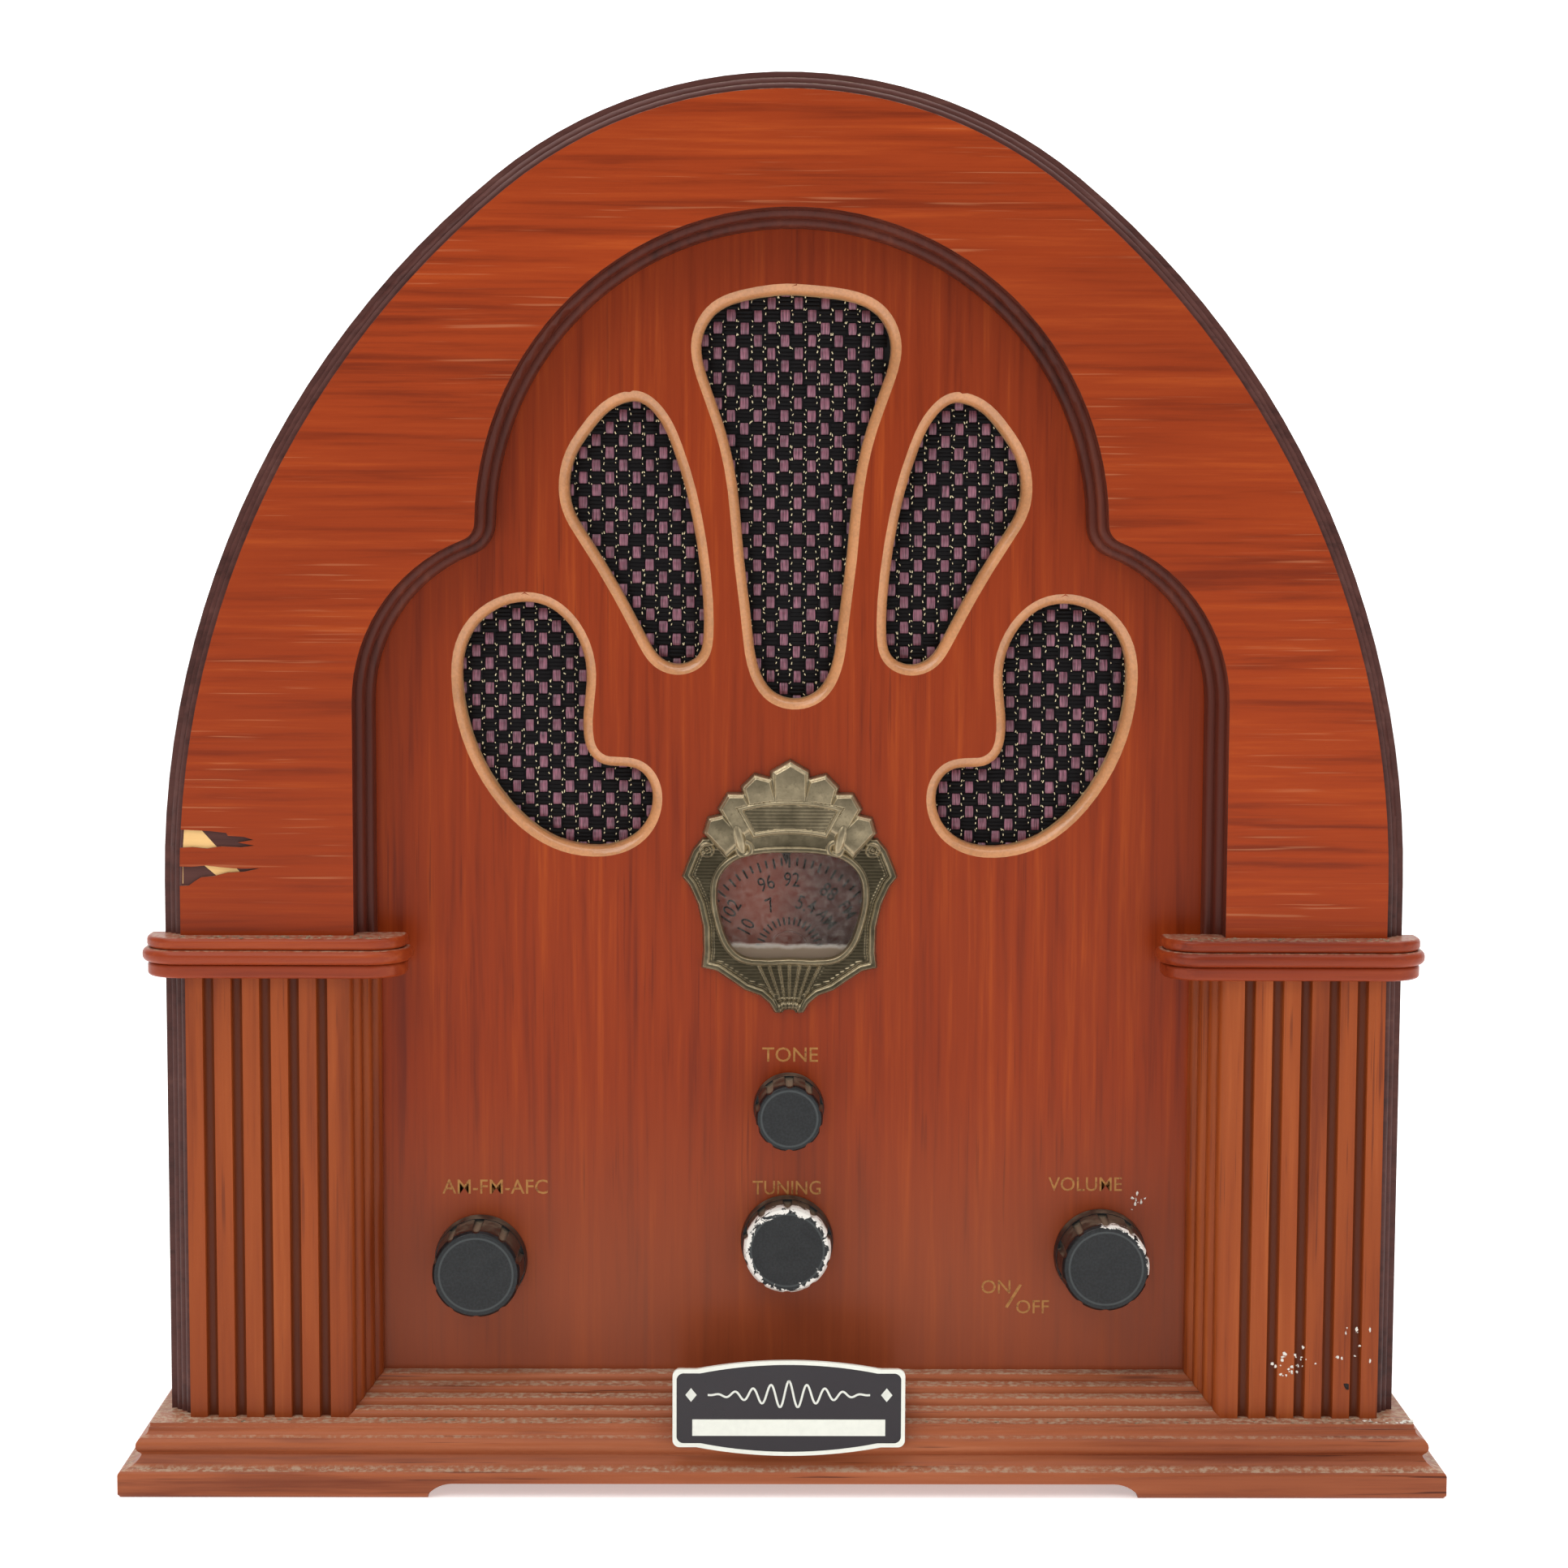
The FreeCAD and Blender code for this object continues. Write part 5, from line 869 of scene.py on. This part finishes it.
# ---------------------------------------------------------------- lettering and marks
def flat_text(name, words, x, z, y, size, shader, wide=1.0, turn=0.0, body="cabinet", bold=0.0):
    """Flat text standing in an XZ plane and facing the front; positions in mm, turn in degrees clockwise."""
    curve = bpy.data.curves.new(name, "FONT")
    curve.body = words
    curve.size = size * MM
    curve.align_x = "CENTER"
    curve.align_y = "CENTER"
    curve.offset = bold * MM
    curve.resolution_u = 3
    holder = bpy.data.objects.new(name + "_curve", curve)
    bpy.context.scene.collection.objects.link(holder)
    bpy.context.view_layer.update()
    mesh = bpy.data.meshes.new_from_object(holder.evaluated_get(bpy.context.evaluated_depsgraph_get()))
    bpy.data.objects.remove(holder)
    place = (Matrix.Translation(Vector((x, y, z)) * MM) @ Matrix.Rotation(math.radians(turn), 4, "Y")
             @ Matrix.Rotation(math.radians(90), 4, "X") @ Matrix.Diagonal((wide, 1, 1, 1)))
    mesh.transform(place)
    mesh.name = name
    obj = bpy.data.objects.new(name, mesh)
    bpy.context.scene.collection.objects.link(obj)
    set_material(obj, shader)
    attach(obj, body)


def worn_gold():
    """Gold transfer lettering, rubbed thin in places."""
    s = Shader("gold_transfer", 0.4, 0.25)
    wear = s.noise(s.scaled((700.0,) * 3), 1.0, 4.0, 0.7)
    s.set(Base_Color=s.mix(wear, srgb(140, 84, 32), srgb(186, 132, 60)),
          Alpha=s.ramp(wear, 0.3, 0.5, 0.5, 1.0))
    return s


def labels():
    """Generic function words beside the controls."""
    gold = worn_gold()
    y = PANEL_Y - 0.03
    texts = (
        ("tone", "TONE", FACE_X + 0.3, 97.1, 4.9, 1.0), ("bands", "AM-FM-AFC", -67.7, 65.5, 4.9, 0.98),
        ("tuning", "TUNING", FACE_X - 0.3, 65.4, 4.7, 0.9), ("volume", "VOLUME", 71.2, 66.4, 4.7, 0.95),
        ("on", "ON", 50.4, 41.7, 4.6, 1.0), ("off", "OFF", 59.0, 36.9, 4.6, 1.0),
    )
    for name, words, x, z, size, wide in texts:
        flat_text("label_" + name, words, x, z, y, size, gold, wide, bold=0.01)
    flat_text("label_slash", "/", 54.4, 39.3, y, 8.8, gold, 1.1, turn=14.0)


def bars(name, items, y, shader, body):
    """Flat strokes: (x, z, length, width, angle) in mm and degrees from +Z, clockwise."""
    verts, faces = [], []
    for x, z, length, width, angle in items:
        a = math.radians(angle)
        ux, uz = math.sin(a) * length / 2, math.cos(a) * length / 2
        vx, vz = math.cos(a) * width / 2, -math.sin(a) * width / 2
        k = len(verts)
        verts += [(x - ux - vx, y, z - uz - vz), (x - ux + vx, y, z - uz + vz),
                  (x + ux + vx, y, z + uz + vz), (x + ux - vx, y, z + uz - vz)]
        faces.append((k, k + 1, k + 2, k + 3))
    mesh_object(name, verts, faces, shader, body, smooth=False)


def on_disc(r, angle):
    """Place on the disc at a radius and an angle in degrees clockwise from the top."""
    a = math.radians(angle)
    return FACE_X + r * math.sin(a), DIAL_Z + r * math.cos(a)


def dial_marks():
    """Scale ticks and generic band numbers on the disc, and the fixed pointer on the pane."""
    ink = plain("dial_ink", srgb(14, 5, 5), 0.7, grit=0.05)
    ink.set(Specular_IOR_Level=0.1)
    y = DISC_FACE_Y - 0.1
    ticks = []
    for k in range(72):
        length = 2.4 if k % 2 == 0 else 1.9
        ticks.append((*on_disc(22.0 - length / 2, k * 5.0), length, 0.5, k * 5.0))
    for k in range(36):
        angle = -80 + k * 10.0
        ticks.append((*on_disc(7.0, angle), 1.9, 0.45, angle))
    bars("dial_ticks", ticks, y, ink, "dial")
    outer = (("108", -88), ("102", -57), ("96", -19), ("92", 2), ("88", 34), ("FM", 55))
    inner = (("16", -96), ("10", -62), ("7", -23), ("5.4", 20), ("AM", 50))
    for ring, r in ((outer, 16.6), (inner, 11.4)):
        for words, angle in ring:
            size = 4.9 * (0.86 if words.isalpha() else 1.0)
            name = "dial_" + words.replace(".", "")
            flat_text(name, words, *on_disc(r, angle), y, size, ink, 0.82, angle, "dial", 0.02)
    pointer_y = PANEL_Y + 1.25
    corners = ((-2.2, 24.6), (0.6, 24.6), (-0.8, 21.0))
    verts = [(FACE_X + x, pointer_y, DIAL_Z + z) for x, z in corners]
    mesh_object("dial_pointer", verts, [(0, 1, 2)], ink, smooth=False)


ORNAMENT_Z = BADGE_Z + 3.1
WAVE_HALF = 0.24         # half the width of its stroke


def wave_points(side):
    """Damped wave from the plaque's middle outwards."""
    u = np.linspace(0, 1, 97)
    swing = 3.3 * (1 - u) ** 1.3 * np.cos(u * 2 * math.pi * 4.5)
    return FACE_X + side * 18.5 * u, ORNAMENT_Z + swing


def badge_ornament():
    """Plain wave ornament and two small diamonds in place of any name."""
    silver = plain("badge_print", srgb(226, 228, 218), 0.35, grit=0.05)
    y = BADGE_Y + 0.06
    strokes = Grids()
    for side in (-1, 1):
        x, z = wave_points(side)
        dx, dz = np.gradient(x), np.gradient(z)
        length = np.hypot(dx, dz)
        aside_x, aside_z = dz / length * WAVE_HALF, dx / length * WAVE_HALF
        left = np.stack([x - aside_x, np.full_like(x, y), z + aside_z], -1)
        right = np.stack([x + aside_x, np.full_like(x, y), z - aside_z], -1)
        strokes.add(np.stack([left, right], 1))
    strokes.build("plaque_wave", silver)
    diamonds, faces = [], []
    for cx in (-22.3, 22.3):
        k = len(diamonds)
        corners = ((-1.3, 0.0), (0.0, -1.6), (1.3, 0.0), (0.0, 1.6))
        diamonds += [(FACE_X + cx + dx, y, ORNAMENT_Z + dz) for dx, dz in corners]
        faces.append((k, k + 1, k + 2, k + 3))
    mesh_object("plaque_diamonds", diamonds, faces, silver, smooth=False)


# ---------------------------------------------------------------- marks of age
def blobs(name, spots, shader, flat):
    """Small irregular lumps: spots are (x, y, z, size) in mm; flat squashes them along the given axis."""
    rng = np.random.default_rng(23)
    rows, cols = 5, 9
    polar = np.linspace(0, math.pi, rows)
    around = np.linspace(0, 2 * math.pi, cols)
    unit = np.stack([np.sin(polar)[:, None] * np.cos(around)[None, :],
                     np.sin(polar)[:, None] * np.sin(around)[None, :],
                     np.repeat(np.cos(polar)[:, None], cols, 1)], -1)
    grids = Grids()
    for x, y, z, size in spots:
        lump = unit * (1 + 0.35 * rng.standard_normal((rows, cols, 1)))
        lump[:, -1] = lump[:, 0]
        reach = rng.uniform(0.5, 1.3, 3) * size
        reach["XYZ".index(flat)] = 0.22 * size
        grids.add(lump * reach + np.array([x, y, z]))
    grids.build(name, shader)


def age_marks():
    """Paint specks, dust lumps on the ledges and a dark spot of painted shade for a nail hole."""
    rng = np.random.default_rng(5)
    white = plain("paint_speck", srgb(232, 226, 214), 0.6, grit=0.05)
    lint = plain("dust_lump", srgb(172, 152, 124), 0.95, grit=0.3, grit_scale=3000.0)
    groups = ((118.5, 28.0, 5.5, 3.5, PILASTER_Y, 26), (83.5, 62.7, 2.0, 2.4, PANEL_Y, 12),
              (130.0, 34.0, 6.0, 8.0, PILASTER_Y, 10))
    specks = []
    for x, z, spread_x, spread_z, y, count in groups:
        for _ in range(count):
            speck_x = x + rng.normal(0, spread_x / 2)
            speck_z = z + rng.normal(0, spread_z / 2)
            specks.append((speck_x, y - 0.02, speck_z, rng.uniform(0.12, 0.42)))
    blobs("paint_specks", specks, white, "Y")
    lumps = []
    for _ in range(110):
        lump_x = rng.uniform(-143, 143)
        lump_y = rng.uniform(LEDGE_Y + 0.5, PILASTER_Y - 0.4)
        lumps.append((lump_x, lump_y, LEDGE_Z + 0.03, rng.uniform(0.15, 0.5)))
    for side in (-1, 1):
        for _ in range(70):
            lump_x = side * rng.uniform(92, 138)
            lump_y = rng.uniform(CAPITAL_Y + 2.0, ARCH_Y - 0.5)
            lumps.append((lump_x, lump_y, CAPITAL_Z + 0.03, rng.uniform(0.15, 0.55)))
    blobs("dust_lumps", lumps, lint, "Z")
    corner = []
    for x in rng.uniform(133.0, 146.0, 16):
        speck_y = LEDGE_Y + rng.uniform(0.5, 3.5)
        corner.append((x, speck_y, LEDGE_Z + 0.05, rng.uniform(0.2, 0.6)))
    blobs("ledge_specks", corner, white, "Z")
    # painted shade: a dark spot stands in for the shaded nail hole
    shade = plain("nail_hole_shade", srgb(30, 14, 10), 0.8)
    blobs("nail_hole_shade", [(130.3, PILASTER_Y - 0.01, 23.1, 0.75)], shade, "Y")


# ---------------------------------------------------------------- studio
STUDIO_HALF = 6.0
FLOOR_Z = -2e-5
WALL_Y = 5.0


def stage_plane(name, corners, grey, roughness, glow):
    """Large pale plane that shines a little and isn't part of the radio."""
    mesh = bpy.data.meshes.new(name)
    mesh.from_pydata(corners, [], [(0, 1, 2, 3)])
    plane = bpy.data.objects.new(name, mesh)
    bpy.context.scene.collection.objects.link(plane)
    s = Shader(name + "_white", roughness)
    s.set(Base_Color=(grey, grey, grey, 1.0), Emission_Color=(1.0, 1.0, 1.0, 1.0), Emission_Strength=glow)
    set_material(plane, s)


def studio():
    """Pale floor, white backdrop and large soft lights."""
    r = STUDIO_HALF
    floor = [(-r, -r, FLOOR_Z), (r, -r, FLOOR_Z), (r, r, FLOOR_Z), (-r, r, FLOOR_Z)]
    wall = [(-r, WALL_Y, -0.01), (r, WALL_Y, -0.01), (r, WALL_Y, r), (-r, WALL_Y, r)]
    stage_plane("floor", floor, 0.93, 0.6, 0.4)
    stage_plane("backdrop", wall, 0.9, 0.9, 0.8)

    world = bpy.data.worlds.new("studio")
    bpy.context.scene.world = world
    world.use_nodes = True
    world.node_tree.nodes["Background"].inputs[0].default_value = (1.0, 1.0, 1.0, 1.0)
    world.node_tree.nodes["Background"].inputs[1].default_value = 0.42

    lights = (
        ("key", (-0.6, -1.0, 1.2), (0.0, 0.0, 0.16), 1.0, 0.7, 7.0),
        ("fill", (1.0, -1.0, 0.7), (0.0, 0.0, 0.16), 1.0, 1.0, 2.5),
        ("top", (0.0, 0.1, 1.5), (0.0, 0.0, 0.0), 2.2, 1.6, 24.0),
    )
    for name, at, aim, width, height, power in lights:
        data = bpy.data.lights.new(name, "AREA")
        data.shape = "RECTANGLE"
        data.size = width
        data.size_y = height
        data.energy = power
        lamp = bpy.data.objects.new(name, data)
        lamp.location = at
        lamp.rotation_euler = (Vector(aim) - Vector(at)).to_track_quat("-Z", "Y").to_euler()
        bpy.context.scene.collection.objects.link(lamp)


def camera():
    """Camera a little above the middle of the radio, looking slightly down."""
    data = bpy.data.cameras.new("camera")
    data.lens = CAMERA_LENS
    data.sensor_width = 36.0
    data.clip_start = 0.02
    cam = bpy.data.objects.new("camera", data)
    turn = (Matrix.Rotation(math.radians(CAMERA_YAW), 4, "Z")
            @ Matrix.Rotation(math.radians(90 - CAMERA_PITCH), 4, "X")
            @ Matrix.Rotation(math.radians(CAMERA_ROLL), 4, "Z"))
    cam.matrix_world = Matrix.Translation(CAMERA_AT) @ turn
    bpy.context.scene.collection.objects.link(cam)
    bpy.context.scene.camera = cam
    bpy.context.scene.view_settings.view_transform = "Standard"


ply = wood("raw_ply", "X", srgb(150, 112, 74), srgb(184, 144, 100), srgb(204, 168, 122), pores=0.3, gloss=0.0,
           seed=6.0)
arch_looks()
panel_looks(ply)
frame_looks()
hidden_wood_looks(ply)
hard_looks()
for knob in KNOBS:
    knob_look(knob)
pane_look()
disc_look()
badge_look()
weave()
cast_surround()
labels()
dial_marks()
badge_ornament()
age_marks()
studio()
camera()
